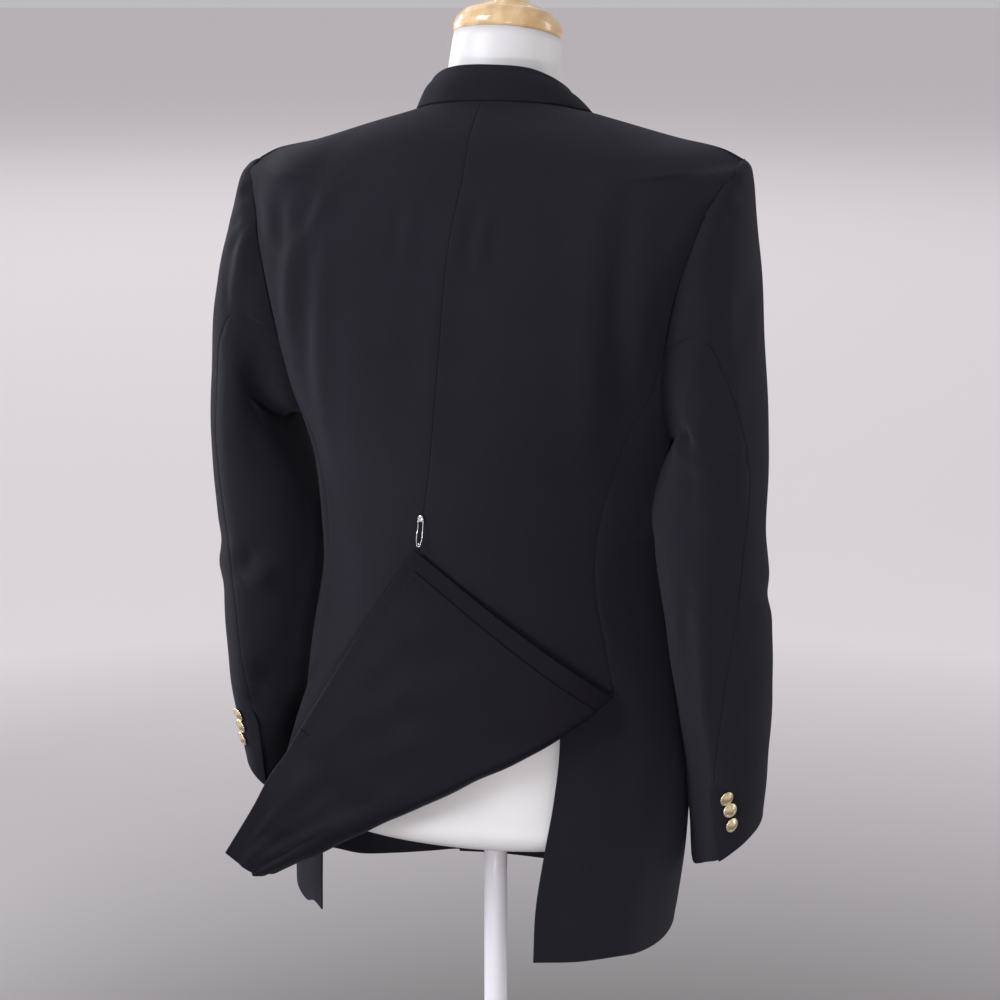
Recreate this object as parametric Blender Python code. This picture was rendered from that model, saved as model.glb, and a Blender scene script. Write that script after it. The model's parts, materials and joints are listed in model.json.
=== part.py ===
"""Double-breasted blazer on a limbless dress form.

The wearer faces -Y, the wearer's left is +X and +Z is up.  The origin is on the
pole's axis, in the flat underside of the round base.  Every cloth piece is a thin
wall: an outer grid of points, and the same grid moved in by the cloth's thickness.
The body of the coat is one family of rings from hem to neck, and each panel is cut
from it along its seams.  The back skirt hangs between two side vents; its lower
right corner is turned up and pinned to the centre back.
"""
import bpy
import bmesh
import numpy as np
from math import cos, sin, pi, radians

# ---- cloth -----------------------------------------------------------------
CLOTH = 0.0018            # wall of the wool panels
LINING = 0.0010           # wall of the flap's lining
SEAM_GAP = 0.0003         # between neighbouring pieces
LAP_GAP = 0.0005          # between a piece and the panel that it lies on

# ---- the coat's rings, named by the height of the centre back ----------------
RING_COLUMNS = ("back_z", "side_z", "front_z", "half_width", "back", "front",
                "centre_y", "shift", "square", "right_fill")
RINGS = (
    # back_z side_z front_z half_w  back   front  ctr_y  shift  square fill
    (0.712, 0.706, 0.700, 0.194, 0.139, 0.152, 0.000, 0.010, 2.15, -0.006),   # hem
    (0.840, 0.835, 0.830, 0.189, 0.137, 0.148, 0.000, 0.011, 2.15, 0.014),    # seat
    (0.975, 0.971, 0.968, 0.170, 0.128, 0.137, 0.000, 0.013, 2.15, 0.021),    # vent top
    (1.075, 1.072, 1.070, 0.156, 0.117, 0.128, 0.000, 0.015, 2.15, 0.025),    # waist
    (1.170, 1.166, 1.160, 0.168, 0.124, 0.133, 0.000, 0.009, 2.20, 0.006),    # ribs
    (1.255, 1.247, 1.240, 0.190, 0.130, 0.136, 0.000, 0.008, 2.60, 0.000),    # armpit
    (1.340, 1.338, 1.320, 0.212, 0.126, 0.132, 0.000, 0.006, 2.90, 0.000),    # shoulder blades
    (1.400, 1.408, 1.380, 0.231, 0.108, 0.118, 0.000, 0.003, 2.70, 0.000),    # yoke
    (1.435, 1.451, 1.411, 0.236, 0.088, 0.098, 0.004, 0.000, 2.30, 0.000),    # shoulder tips
    (1.475, 1.472, 1.437, 0.167, 0.067, 0.083, 0.002, 0.000, 2.20, 0.000),    # mid shoulder
    (1.508, 1.494, 1.452, 0.069, 0.046, 0.074, -0.014, 0.000, 2.10, 0.000),   # neck
)
FILL_POWER = (12, 3)      # how soon the right side's fill fades to the back, to the front
LEFT_HEM_RISE = 0.034     # the left side's hem hangs higher between these angles and below this height
LEFT_HEM_SPAN = (42.0, 90.0, 125.0)
LEFT_HEM_TOP_H = 0.90
HEM_H = RINGS[0][0]
VENT_H = RINGS[2][0]
TIP_H = RINGS[8][0]
NECK_H = RINGS[10][0]
LEFT_DROP = 0.008         # the left shoulder hangs a little lower
SEAM_SWING = 12.0         # degrees that the centre seam swings to the wearer's left
SWING_START_H = 1.33
SWING_END_H = 1.02

# ---- armhole, an oval on the rings -------------------------------------------
ARMHOLE_STEPS = 24
ARMHOLE_BOTTOM_H = 1.206
ARMHOLE_BACK = 20.0       # degrees behind the shoulder seam
ARMHOLE_FRONT = 24.0
SIDE_BACK_STEP = 7        # armhole steps where the panels' seams meet it
SIDE_FRONT_STEP = 14
HINDARM_STEP = 7          # and where the sleeve's two seams do
FOREARM_STEP = 16
SHOULDER_SEAM = 90.0      # degrees from the centre back

# ---- side seams, in degrees from the centre back ------------------------------
SIDE_BACK_HEM = 63.5
SIDE_BACK_VENT = 63.5
SIDE_BACK_WAIST = (1.120, 61.0)    # height, angle
SIDE_FRONT_HEM = 106.0
UNDERLAP_DEPTH = CLOTH + 0.0014
UNDERLAP = {"right": (0.050, 0.097), "left": (0.040, 0.035)}   # width at vent top, at hem
UNDERLAP_RISE = {"right": 0.0, "left": 0.010}     # how much higher its own hem is
UNDERLAP_COLUMNS = 2
SKIRT_ROWS = 6
VENT_SLIP = 0.004         # the underlap starts this far below the vent top
BODY_ROWS = 8
SHOULDER_ROWS = 4
TIP_STEPS = 3             # armhole steps either side of the tip where inner columns ignore its curve
BACK_SHARES = (0.0, 0.20, 0.40, 0.60, 0.78, 0.93, 1.0)

# ---- the turned-up flap --------------------------------------------------------
FOLD_RIGHT_DROP = 0.005   # fold line below the vent top on the right
FOLD_LEFT_RISE = 0.072    # and above the hem at the left vent
FLAP_HEM_RISE = 0.009     # the back's hem is cut a little shorter
FOLD_RADIUS = (0.0016, 0.0090)   # at the vent top, at the left vent
PINNED_OUT = CLOTH * 2 + 0.0016   # how far off the back the pinned corner lies
FLAT_START = 0.45         # share of the vent height in which the flap leaves the hip
FLAP_LOW_ROWS = 6
FLAP_TURN_ROWS = 6
FLAP_HIGH_ROWS = 3
HEM_FACING = 0.012
LINING_TURN_ROWS = 4

# ---- fronts ---------------------------------------------------------------------
OVERLAP_X = 0.088         # front edge past the centre
BREAK_H = 1.118           # where the lapel starts to roll
NECK_EDGE_X = 0.056       # the roll line's upper end
BODY_COLUMNS = 6          # from the side seam to the lapel's edge
LAPEL_COLUMNS = 4         # from there to the front edge
EVEN_SHARE = 0.6
OVERLAP_OUT = CLOTH * 2 + 0.0020
OVERLAP_RAMP = 0.030
OVERLAP_FADE = (1.33, 1.42)
GORGE_STEP = 23           # armhole step whose row carries the gorge seam
GORGE_DIP = (0.0, 0.0035, 0.0070, 0.0035, 0.0)    # from the peak over the notch to the roll
LAPEL_EDGE = (
    # ring height, x
    (1.118, -0.082),
    (1.160, -0.036),
    (1.235, 0.026),
    (1.330, 0.078),
    (1.4316, 0.122),      # peak
)
COLLAR_END_H = 1.4365
COLLAR_NOTCH = (0.082, 1.4335)    # x and ring height of the leaf's corner
COLLAR_GAP = 0.0010
PATCH_GAP = 0.0009
COLLAR_FALL = (0.011, 0.038)      # past the neck seam at the back, at the gorge
COLLAR_STAND = (0.0225, 0.0090)
COLLAR_ROLL = 0.0050
COLLAR_LEAN = 0.004       # how far the stand leans in over the shoulders
COLLAR_STATIONS = 9

# ---- sleeves -----------------------------------------------------------------------
SLEEVE_ROWS = (
    # outer x, z    inner x, z    ctr_y  depth  twist pitch
    (0.237, 1.449, 0.187, 1.206, 0.000, 0.080, 0, 0),      # armhole
    (0.243, 1.438, 0.199, 1.203, 0.003, 0.082, 0, 0),      # cap
    (0.249, 1.405, 0.203, 1.196, 0.005, 0.081, -3, 0),
    (0.257, 1.345, 0.201, 1.186, 0.008, 0.077, -8, 0),     # crown
    (0.265, 1.270, 0.196, 1.166, 0.012, 0.072, -12, 1),
    (0.270, 1.190, 0.191, 1.135, 0.016, 0.068, -15, 1),    # biceps
    (0.271, 1.110, 0.188, 1.085, 0.018, 0.065, -17, 3),
    (0.273, 1.035, 0.190, 1.025, 0.015, 0.061, -19, 6),    # elbow
    (0.273, 0.960, 0.194, 0.955, 0.005, 0.058, -20, 9),
    (0.270, 0.885, 0.200, 0.880, -0.010, 0.053, -20, 12),  # forearm
    (0.265, 0.826, 0.205, 0.791, -0.024, 0.050, -20, 14),  # cuff
)
SLEEVE_PLACES = (0.5, 1, 1.7, 2.4, 3.2, 4, 5, 6, 7, 8, 9, 10)
SLEEVE_SET = {"left": (0.005, 0.016, 0.88), "right": (-0.005, -0.017, 1.0)}   # outer, inner, depth
SLEEVE_SET_BY = 3.0       # table row from which a side's own setting holds in full
INNER_KEYS = (0, 2, 3, 4, 5, 6, 7, 8, 9, 10)   # table rows, and a side's own move towards the body
INNER_SHIFT = {"left": (0.0, 0.002, 0.006, 0.012, 0.020, 0.0285, 0.0285, 0.0185, 0.0075, 0.002),
               "right": (0.0, 0.001, 0.003, 0.006, 0.007, 0.004, -0.001, -0.0058, -0.0075, -0.0058)}
OUTER_KEYS = (0, 2, 4, 6, 8, 10)               # table rows, and a side's own move of the outer edge
OUTER_SHIFT = {"left": (0.0, 0.005, 0.008, 0.002, -0.003, 0.0),
               "right": (0.0, -0.001, -0.001, 0.001, 0.005, 0.001)}
HINDARM_KEYS = (0, 2, 4, 5, 6, 7, 8, 9, 10)    # table rows, and the step that the seam lies at there
HINDARM_PLACE = {"left": (7.0, 6.0, 5.0, 4.8, 5.0, 5.6, 6.4, 7.4, 7.9),
                 "right": (7.0, 6.0, 4.3, 3.5, 4.2, 5.4, 6.8, 7.8, 6.9)}
HEM_STEPS = (0, 4, 7, 9, 11, 13, 24)           # steps round a cuff, and how far its hem drops there
HEM_DROPS = (0.0, 0.0, 0.004, 0.004, 0.009, 0.0, 0.0)
SLEEVE_LIFT = {"left": 0.020, "right": 0.0}    # how much higher a cuff hangs
SLEEVE_BLEND = 3.0        # table rows over which the armhole's own shape fades

# ---- small parts ----------------------------------------------------------------------
BUTTON_PLACES = ((0.060, 1.085), (0.060, 0.985), (0.060, 0.885))   # x and ring height
BUTTON_RADIUS = 0.0100
BUTTON_RISE = 0.0003
CUFF_BUTTON_RADIUS = 0.0070
CUFF_BUTTON_FIRST = 0.036         # above the hem
CUFF_BUTTON_STEP = 0.0145
CUFF_BUTTONS = 3
CUFF_BUTTON_PLACE = {"left": 5, "right": 6}    # armhole step down whose column they lie
FLAP_POCKET = (1, 4, 0.905, 0.953)    # columns of the front, ring heights
WELT_POCKET = (3, 5, 1.282, 1.304)
PIN_TOP_H = 1.1335
PIN_RISE = 0.0010
PIN_LENGTH = 0.029
PIN_WIDTH = 0.0046
PIN_WIRE = 0.0009
PIN_CLASP = (0.0066, 0.0026, 0.0062)          # width, depth, height

# ---- dress form -------------------------------------------------------------------------
FORM_CLEAR = 0.011        # between the coat's outside and the form
FORM_BOTTOM_H = 0.815
FORM_HEIGHTS = (0.823, 0.86, 0.92, 0.98, 1.04, 1.10, 1.16, 1.22, 1.27, 1.32, 1.36, 1.39,
                1.415, 1.435, 1.455, 1.475)
FORM_SEGMENTS = 32
NECK_TABLE = (
    # z     centre_y half_width half_depth tilt
    (1.480, -0.018, 0.0600, 0.0440, 8),
    (1.505, -0.023, 0.0540, 0.0450, 8),
    (1.530, -0.028, 0.0525, 0.0490, 10),
    (1.555, -0.036, 0.0505, 0.0500, 15),
)
CAP_PROFILE = (
    # radius, height above the neck's top
    (0.0470, 0.0003), (0.0505, 0.0020), (0.0515, 0.0080), (0.0500, 0.0140), (0.0450, 0.0205),
    (0.0330, 0.0275), (0.0210, 0.0310), (0.0180, 0.0350), (0.0170, 0.0450), (0.0190, 0.0500),
    (0.0215, 0.0560), (0.0205, 0.0630), (0.0140, 0.0690), (0.0040, 0.0710),
)
CAP_TILT = 15.0
POLE_RADIUS = 0.0115
BASE_PROFILE = ((0.150, 0.0), (0.152, 0.003), (0.152, 0.010), (0.149, 0.014), (0.060, 0.019),
                (0.024, 0.022), (0.022, 0.030))
ROUND_SEGMENTS = 32

COLOURS = {
    "navy_wool": (0.012, 0.013, 0.022, 0.9, 0.0),
    "lining": (0.016, 0.014, 0.026, 0.55, 0.0),
    "gold_metal": (0.80, 0.60, 0.28, 0.25, 1.0),
    "pin_steel": (0.75, 0.75, 0.74, 0.22, 1.0),
    "form_white": (0.82, 0.82, 0.80, 0.45, 0.0),
    "stand_white": (0.85, 0.85, 0.84, 0.35, 0.0),
    "maple": (0.78, 0.56, 0.30, 0.30, 0.0),
}
SIGN = {"left": 1, "right": -1}
SIDES = ("left", "right")


# ---- tables and curves ---------------------------------------------------------------------
def smooth_column(keys, values, at):
    """Cubic through a table's column, with slopes from the neighbouring rows."""
    keys = np.asarray(keys, float)
    values = np.asarray(values, float)
    at = np.asarray(at, float)
    slopes = np.gradient(values, keys)
    cell = np.clip(np.searchsorted(keys, at, side="right") - 1, 0, len(keys) - 2)
    width = keys[cell + 1] - keys[cell]
    t = (at - keys[cell]) / width
    t2 = t * t
    t3 = t2 * t
    start = (2 * t3 - 3 * t2 + 1) * values[cell] + (t3 - 2 * t2 + t) * width * slopes[cell]
    end = (3 * t2 - 2 * t3) * values[cell + 1] + (t3 - t2) * width * slopes[cell + 1]
    return start + end


def ring_value(column, height):
    table = np.array(RINGS)
    return smooth_column(table[:, 0], table[:, RING_COLUMNS.index(column)], height)


def smoothstep(low, high, value):
    t = np.clip((np.asarray(value, float) - low) / (high - low), 0, 1)
    return t * t * (3 - 2 * t)


def unit(vectors):
    length = np.linalg.norm(vectors, axis=-1, keepdims=True)
    return vectors / np.maximum(length, 1e-12)


def left_drop(x, height):
    return LEFT_DROP * smoothstep(1.28, 1.43, height) * smoothstep(0.02, 0.20, x)


def left_hem_rise(angle, height):
    """The pinned corner draws the left side's hem up a little."""
    start, full, end = (radians(d) for d in LEFT_HEM_SPAN)
    share = smoothstep(start, full, angle) * (1 - smoothstep(full, end, angle))
    return LEFT_HEM_RISE * share * (1 - smoothstep(HEM_H, LEFT_HEM_TOP_H, height))


def right_fill(angle, height):
    """The right side stands out further than the rings' own ovals."""
    side = np.clip(-np.sin(angle), 0, 1)
    power = np.where(np.cos(angle) > 0, *FILL_POWER)
    return ring_value("right_fill", height) * side ** power


def coat_point(angle, height):
    """Point of the coat's outside: angle in radians from the centre back towards the left."""
    angle, height = np.broadcast_arrays(np.asarray(angle, float), np.asarray(height, float))
    half_width = ring_value("half_width", height)
    square = ring_value("square", height)
    behind = np.cos(angle) > 0
    depth = np.where(behind, ring_value("back", height), ring_value("front", height))
    radius = (np.abs(np.sin(angle) / half_width) ** square
              + np.abs(np.cos(angle) / depth) ** square) ** (-1 / square)
    lean = np.abs(radius * np.cos(angle) / depth) ** 1.5
    centre_z = np.where(behind, height, ring_value("front_z", height))
    side_z = ring_value("side_z", height)
    x = ring_value("shift", height) + radius * np.sin(angle) - right_fill(angle, height)
    y = ring_value("centre_y", height) + radius * np.cos(angle)
    z = side_z + (centre_z - side_z) * lean - left_drop(x, height) + left_hem_rise(angle, height)
    return np.stack([x, y, z], axis=-1)


def coat_normal(angle, height):
    step = 1e-4
    angle = np.asarray(angle, float)
    height = np.asarray(height, float)
    along = coat_point(angle + step, height) - coat_point(angle - step, height)
    up = coat_point(angle, height + step) - coat_point(angle, height - step)
    return unit(np.cross(up, along))


def seam_swing(height):
    return radians(SEAM_SWING) * (1 - smoothstep(SWING_END_H, SWING_START_H, height))


# ---- seams -----------------------------------------------------------------------------------
def armhole_place(step):
    """Angle and height of an armhole step, 0 at the shoulder tip, then back, under, front."""
    turn = 2 * pi * np.asarray(step, float) / ARMHOLE_STEPS
    middle = (TIP_H + ARMHOLE_BOTTOM_H) / 2
    height = middle + (TIP_H - ARMHOLE_BOTTOM_H) / 2 * np.cos(turn)
    side = np.sin(turn)
    reach = np.where(side > 0, radians(ARMHOLE_BACK), radians(ARMHOLE_FRONT))
    angle = radians(SHOULDER_SEAM) - reach * np.sign(side) * np.abs(side) ** 0.9
    return angle, height


def side_back_angle(height):
    top_angle, top_height = armhole_place(SIDE_BACK_STEP)
    keys = (HEM_H, VENT_H, SIDE_BACK_WAIST[0], float(top_height))
    degrees = (SIDE_BACK_HEM, SIDE_BACK_VENT, SIDE_BACK_WAIST[1])
    values = [radians(d) for d in degrees] + [float(top_angle)]
    return smooth_column(keys, values, height)


def side_front_angle(height):
    top_angle, top_height = armhole_place(SIDE_FRONT_STEP)
    share = (np.asarray(height, float) - HEM_H) / (float(top_height) - HEM_H)
    return radians(SIDE_FRONT_HEM) + (float(top_angle) - radians(SIDE_FRONT_HEM)) * share


def seam_heights(step):
    """Rows from the hem to an armhole step, scaled so that neighbouring panels share them."""
    first = float(armhole_place(SIDE_BACK_STEP)[1])
    skirt = np.linspace(HEM_H, VENT_H - VENT_SLIP, SKIRT_ROWS)
    body = np.linspace(VENT_H, first, BODY_ROWS + 1)
    climb = (np.concatenate([skirt, body]) - HEM_H) / (first - HEM_H)
    return HEM_H + (float(armhole_place(step)[1]) - HEM_H) * climb


# ---- solids --------------------------------------------------------------------------------------
def material(name):
    found = bpy.data.materials.get(name)
    if found:
        return found
    red, green, blue, rough, metal = COLOURS[name]
    made = bpy.data.materials.new(name)
    made.use_nodes = True
    shader = made.node_tree.nodes["Principled BSDF"]
    shader.inputs["Base Color"].default_value = (red, green, blue, 1)
    shader.inputs["Roughness"].default_value = rough
    shader.inputs["Metallic"].default_value = metal
    made.diffuse_color = (red, green, blue, 1)
    return made


def add_mesh(name, points, faces, finish, sharp=50):
    """One closed body, with its faces turned outwards."""
    mesh = bpy.data.meshes.new(name)
    mesh.from_pydata([tuple(p) for p in points], [], faces)
    body = bmesh.new()
    body.from_mesh(mesh)
    loose = [v for v in body.verts if not v.link_faces]
    bmesh.ops.delete(body, geom=loose, context="VERTS")
    bmesh.ops.triangulate(body, faces=body.faces)
    bmesh.ops.recalc_face_normals(body, faces=body.faces)
    if body.calc_volume(signed=True) < 0:
        bmesh.ops.reverse_faces(body, faces=body.faces)
    body.to_mesh(mesh)
    body.free()
    mesh.shade_smooth()
    mesh.set_sharp_from_angle(angle=radians(sharp))
    mesh.materials.append(material(finish))
    thing = bpy.data.objects.new(name, mesh)
    bpy.context.scene.collection.objects.link(thing)
    return thing


def grid_normals(grid):
    """Outward normals of a grid whose rows go up and columns go round towards the left."""
    along = np.gradient(grid, axis=1)
    up = np.gradient(grid, axis=0)
    return unit(np.cross(up, along))


def wall(name, outer, inner, finish, keep=None):
    """A closed wall between two matching grids; keep marks the cells that are cloth."""
    rows, columns = outer.shape[:2]
    points = np.concatenate([outer.reshape(-1, 3), inner.reshape(-1, 3)])
    back = rows * columns
    faces = []
    edges = set()
    for r in range(rows - 1):
        for c in range(columns - 1):
            if keep is not None and not keep[r, c]:
                continue
            a = r * columns + c
            cell = (a, a + 1, a + columns + 1, a + columns)
            faces.append(cell)
            faces.append(tuple(back + k for k in reversed(cell)))
            edges.update(zip(cell, cell[1:] + cell[:1]))
    for a, b in sorted(edges):
        if (b, a) not in edges:
            faces.append((b, a, back + a, back + b))
    return add_mesh(name, points, faces, finish)


def pull_in(grid, sides, gap=SEAM_GAP / 2):
    """Move the named borders of a grid inwards along the cloth by half a seam gap."""
    grid = grid.copy()
    if "first_column" in sides:
        grid[:, 0] += gap * unit(grid[:, 1] - grid[:, 0])
    if "last_column" in sides:
        grid[:, -1] += gap * unit(grid[:, -2] - grid[:, -1])
    if "first_row" in sides:
        grid[0] += gap * unit(grid[1] - grid[0])
    if "last_row" in sides:
        grid[-1] += gap * unit(grid[-2] - grid[-1])
    return grid


def tube_round(name, rings, finish, sharp=50):
    """A closed solid through a stack of matching rings, with flat end caps."""
    count = len(rings[0])
    points = np.concatenate(rings)
    faces = [tuple(range(count))[::-1], tuple(range(len(points) - count, len(points)))]
    for r in range(len(rings) - 1):
        for c in range(count):
            d = (c + 1) % count
            low = r * count
            faces.append((low + c, low + d, low + count + d, low + count + c))
    return add_mesh(name, points, faces, finish, sharp)


# ---- back and its turned-up skirt --------------------------------------------------------------------
def plan_curve(height, steps=180):
    """The ring at one height as points and arc lengths measured from the centre seam."""
    angles = seam_swing(height) + np.linspace(-radians(95), radians(95), 2 * steps + 1)
    points = coat_point(angles, np.full_like(angles, height))
    points[:, 2] -= left_hem_rise(angles, height)
    pieces = np.linalg.norm(np.diff(points[:, :2], axis=0), axis=1)
    lengths = np.concatenate([[0], np.cumsum(pieces)])
    return points, lengths - lengths[steps]


def flattened(points, lengths, share):
    """Let the part left of the centre seam run on straight: share 1 takes out all its curve."""
    moves = np.diff(points[:, :2], axis=0)
    heading = np.arctan2(moves[:, 1], moves[:, 0])
    middle = len(lengths) // 2
    heading[middle:] = heading[middle] + (heading[middle:] - heading[middle]) * (1 - share)
    steps = np.diff(lengths)[middle:]
    moved = points.copy()
    moved[middle + 1:, 0] = points[middle, 0] + np.cumsum(steps * np.cos(heading[middle:]))
    moved[middle + 1:, 1] = points[middle, 1] + np.cumsum(steps * np.sin(heading[middle:]))
    return moved


def sheet_table(share_at):
    """Flap surface as a table: a row for each height, read by arc length from the centre seam."""
    heights = np.linspace(HEM_H, NECK_H, 150)
    spans = np.linspace(-0.28, 0.28, 161)
    curves = []
    for height in heights:
        points, lengths = plan_curve(height)
        moved = flattened(points, lengths, share_at(height))
        curves.append(np.stack([np.interp(spans, lengths, moved[:, k]) for k in range(3)], axis=-1))
    return heights, spans, np.array(curves)


def table_point(table, across, height):
    heights, spans, curves = table
    r = (np.asarray(height, float) - heights[0]) / (heights[1] - heights[0])
    c = (np.asarray(across, float) - spans[0]) / (spans[1] - spans[0])
    r0 = np.clip(np.floor(r).astype(int), 0, len(heights) - 2)
    c0 = np.clip(np.floor(c).astype(int), 0, len(spans) - 2)
    fr = (r - r0)[..., None]
    fc = (c - c0)[..., None]
    low = curves[r0, c0] * (1 - fc) + curves[r0, c0 + 1] * fc
    high = curves[r0 + 1, c0] * (1 - fc) + curves[r0 + 1, c0 + 1] * fc
    return low * (1 - fr) + high * fr


def table_normal(table, across, height):
    step = 0.002
    along = table_point(table, across + step, height) - table_point(table, across - step, height)
    up = table_point(table, across, height + step) - table_point(table, across, height - step)
    return unit(np.cross(up, along))


def skirt_share(height):
    """How flat the hanging skirt is: none at the vent tops, wholly flat low down."""
    return 1 - smoothstep(VENT_H - FLAT_START * (VENT_H - HEM_H), VENT_H, height)


def cover_share(height):
    """The turned-up layer stays nearly flat all the way to the pin."""
    return np.maximum(skirt_share(height), 0.85)


SKIRT = sheet_table(skirt_share)
COVER = sheet_table(cover_share)


def span_at(angle, height):
    """Arc length from the centre seam to an angle on one ring."""
    points, lengths = plan_curve(float(height))
    angles = seam_swing(height) + np.linspace(-radians(95), radians(95), len(lengths))
    return float(np.interp(angle, angles, lengths))


def seam_span(side, height):
    """Arc length from the centre seam to a side-back seam, negative on the right."""
    return span_at(float(side_back_angle(height)) * SIGN[side], height)


def calm_edge(step, height, edge):
    """Near the shoulder tip, an edge that runs straight from an armhole step to the neck."""
    low_angle, low_height = armhole_place(step)
    if height <= float(low_height) + 1e-6:
        return edge
    return float(np.interp(height, (low_height, NECK_H), (low_angle, radians(SHOULDER_SEAM))))


def back_angles(side, edge, height):
    swing = float(seam_swing(height))
    return swing + (SIGN[side] * edge - swing) * np.array(BACK_SHARES)


def fold_ends():
    """Ends of the fold in the flap's flat plane: (across, height)."""
    right_height = VENT_H - FOLD_RIGHT_DROP
    left_height = HEM_H + FOLD_LEFT_RISE
    right = np.array([seam_span("right", right_height), right_height])
    return right, np.array([seam_span("left", left_height), left_height])


FOLD_RIGHT, FOLD_LEFT = fold_ends()
FOLD_LENGTH = float(np.linalg.norm(FOLD_LEFT - FOLD_RIGHT))
FOLD_ALONG = (FOLD_LEFT - FOLD_RIGHT) / FOLD_LENGTH
FOLD_UP = np.array([-FOLD_ALONG[1], FOLD_ALONG[0]])
CORNER_REACH = float(-(np.array([0.0, HEM_H - VENT_H]) @ FOLD_UP))   # corner to the fold line


def folded(across, height):
    """Place flat flap points in space; below the fold line they turn up over the back."""
    rel = np.stack([across - FOLD_RIGHT[0], height - FOLD_RIGHT[1]], axis=-1)
    along = rel @ FOLD_ALONG
    above = rel @ FOLD_UP
    share = np.clip(along / FOLD_LENGTH, 0, 1)
    radius = FOLD_RADIUS[0] + (FOLD_RADIUS[1] - FOLD_RADIUS[0]) * np.sqrt(share)
    below = np.maximum(-above, 0)
    turn = np.clip(below / radius, 0, pi)
    beyond = np.maximum(below - pi * radius, 0)
    place = np.where(above >= 0, above, beyond - radius * np.sin(turn))
    settle = smoothstep(0.02, 0.95 * CORNER_REACH, beyond)
    off = radius * (1 - np.cos(turn))
    out = np.where(above >= 0, 0, off + (PINNED_OUT - off) * settle)
    flat_across = FOLD_RIGHT[0] + along * FOLD_ALONG[0] + place * FOLD_UP[0]
    flat_height = FOLD_RIGHT[1] + along * FOLD_ALONG[1] + place * FOLD_UP[1]
    mix = smoothstep(0, 0.02, below)[..., None]
    base = table_point(SKIRT, flat_across, flat_height)
    cover = table_point(COVER, flat_across, flat_height)
    normal = unit(table_normal(SKIRT, flat_across, flat_height) * (1 - mix)
                  + table_normal(COVER, flat_across, flat_height) * mix)
    return base * (1 - mix) + cover * mix + normal * out[..., None]


def fold_height(across):
    slope = (FOLD_LEFT[1] - FOLD_RIGHT[1]) / (FOLD_LEFT[0] - FOLD_RIGHT[0])
    return FOLD_RIGHT[1] + slope * (across - FOLD_RIGHT[0])


def turn_depth(across):
    """Height of cloth, straight down, that the turn takes up at one place along the fold."""
    share = np.clip((across - FOLD_RIGHT[0]) / (FOLD_LEFT[0] - FOLD_RIGHT[0]), 0, 1)
    radius = FOLD_RADIUS[0] + (FOLD_RADIUS[1] - FOLD_RADIUS[0]) * np.sqrt(share)
    return pi * radius / FOLD_ALONG[0]


def flap_column(side, place):
    """Points of one flap column, from the hem up to the vent tops."""
    angle = back_angles(side, float(side_back_angle(VENT_H)), VENT_H)[place]
    across_top = span_at(angle, VENT_H)
    across_low = BACK_SHARES[place] * seam_span(side, HEM_H)
    hem = HEM_H + FLAP_HEM_RISE
    fold = fold_height(across_top)
    start = max(fold - turn_depth(across_top), hem + HEM_FACING + 0.004)
    rows = np.concatenate([[hem], np.linspace(hem + HEM_FACING, start, FLAP_LOW_ROWS),
                           np.linspace(start, fold, FLAP_TURN_ROWS + 1)[1:],
                           np.linspace(fold, VENT_H, FLAP_HIGH_ROWS + 1)[1:-1]])
    across = across_low + (across_top - across_low) * smoothstep(HEM_H, VENT_H, rows)
    return folded(across, rows)


def back_rows():
    """Heights and seam angles of a back panel's rows, from the vent tops to the neck."""
    heights = list(seam_heights(SIDE_BACK_STEP)[SKIRT_ROWS:])
    edges = [float(side_back_angle(h)) for h in heights]
    for step in range(SIDE_BACK_STEP - 1, -1, -1):
        angle, height = armhole_place(step)
        heights.append(float(height))
        edges.append(float(angle))
    for height in np.linspace(TIP_H, NECK_H, SHOULDER_ROWS + 1)[1:]:
        heights.append(float(height))
        edges.append(radians(SHOULDER_SEAM))
    return heights, edges


def back_grid(side):
    """Outer grid of a back panel, from its skirt's hem to the neck."""
    columns = range(len(BACK_SHARES))
    low = np.array([flap_column(side, place) for place in columns]).transpose(1, 0, 2)
    high = []
    for height, edge in zip(*back_rows()):
        angles = back_angles(side, calm_edge(TIP_STEPS, height, edge), height)
        angles[-1] = SIGN[side] * edge
        high.append(coat_point(angles, height))
    return np.concatenate([low, np.array(high)])


def back_panels():
    """Both halves share one set of normals, so their walls stay parallel at the centre seam."""
    halves = {side: back_grid(side) for side in SIDES}
    whole = np.concatenate([halves["right"][:, ::-1], halves["left"][:, 1:]], axis=1)
    normals = grid_normals(whole)
    middle = len(BACK_SHARES) - 1
    shared = {"right": normals[:, middle::-1], "left": normals[:, middle:]}
    heights, edges = back_rows()
    first = len(whole) - len(heights)
    steps = np.arange(SIDE_BACK_STEP, -1, -1)
    meet = first + BODY_ROWS
    for side in SIDES:
        normal = shared[side].copy()
        normal[first:, -1] = coat_normal(np.array(edges) * SIGN[side], heights)
        grid = pull_in(halves[side], ("first_column", "last_column"))
        grid[meet:meet + len(steps), -1] += armhole_apart(side)[steps]
        inner = grid - normal * CLOTH
        armhole = slice(meet, meet + len(steps))
        inner[armhole, -1] = grid[armhole, -1] + armhole_inward(side)[steps]
        wall("back_" + side, grid, inner, "navy_wool")


def flap_lining():
    """Lining of the turned-up part, made from the flap's own points and moved off its wrong side."""
    columns = [("right", place) for place in range(len(BACK_SHARES) - 1, 0, -1)]
    columns += [("left", place) for place in range(len(BACK_SHARES))]
    whole = np.array([flap_column(*column) for column in columns]).transpose(1, 0, 2)
    normals = grid_normals(whole)
    rows = slice(1, FLAP_LOW_ROWS + LINING_TURN_ROWS + 1)
    grid = whole[rows, 1:-1]
    facing = normals[rows, 1:-1]
    seat = grid - facing * (CLOTH + LAP_GAP)
    wall("flap_lining", seat, seat - facing * LINING, "lining")


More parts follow.
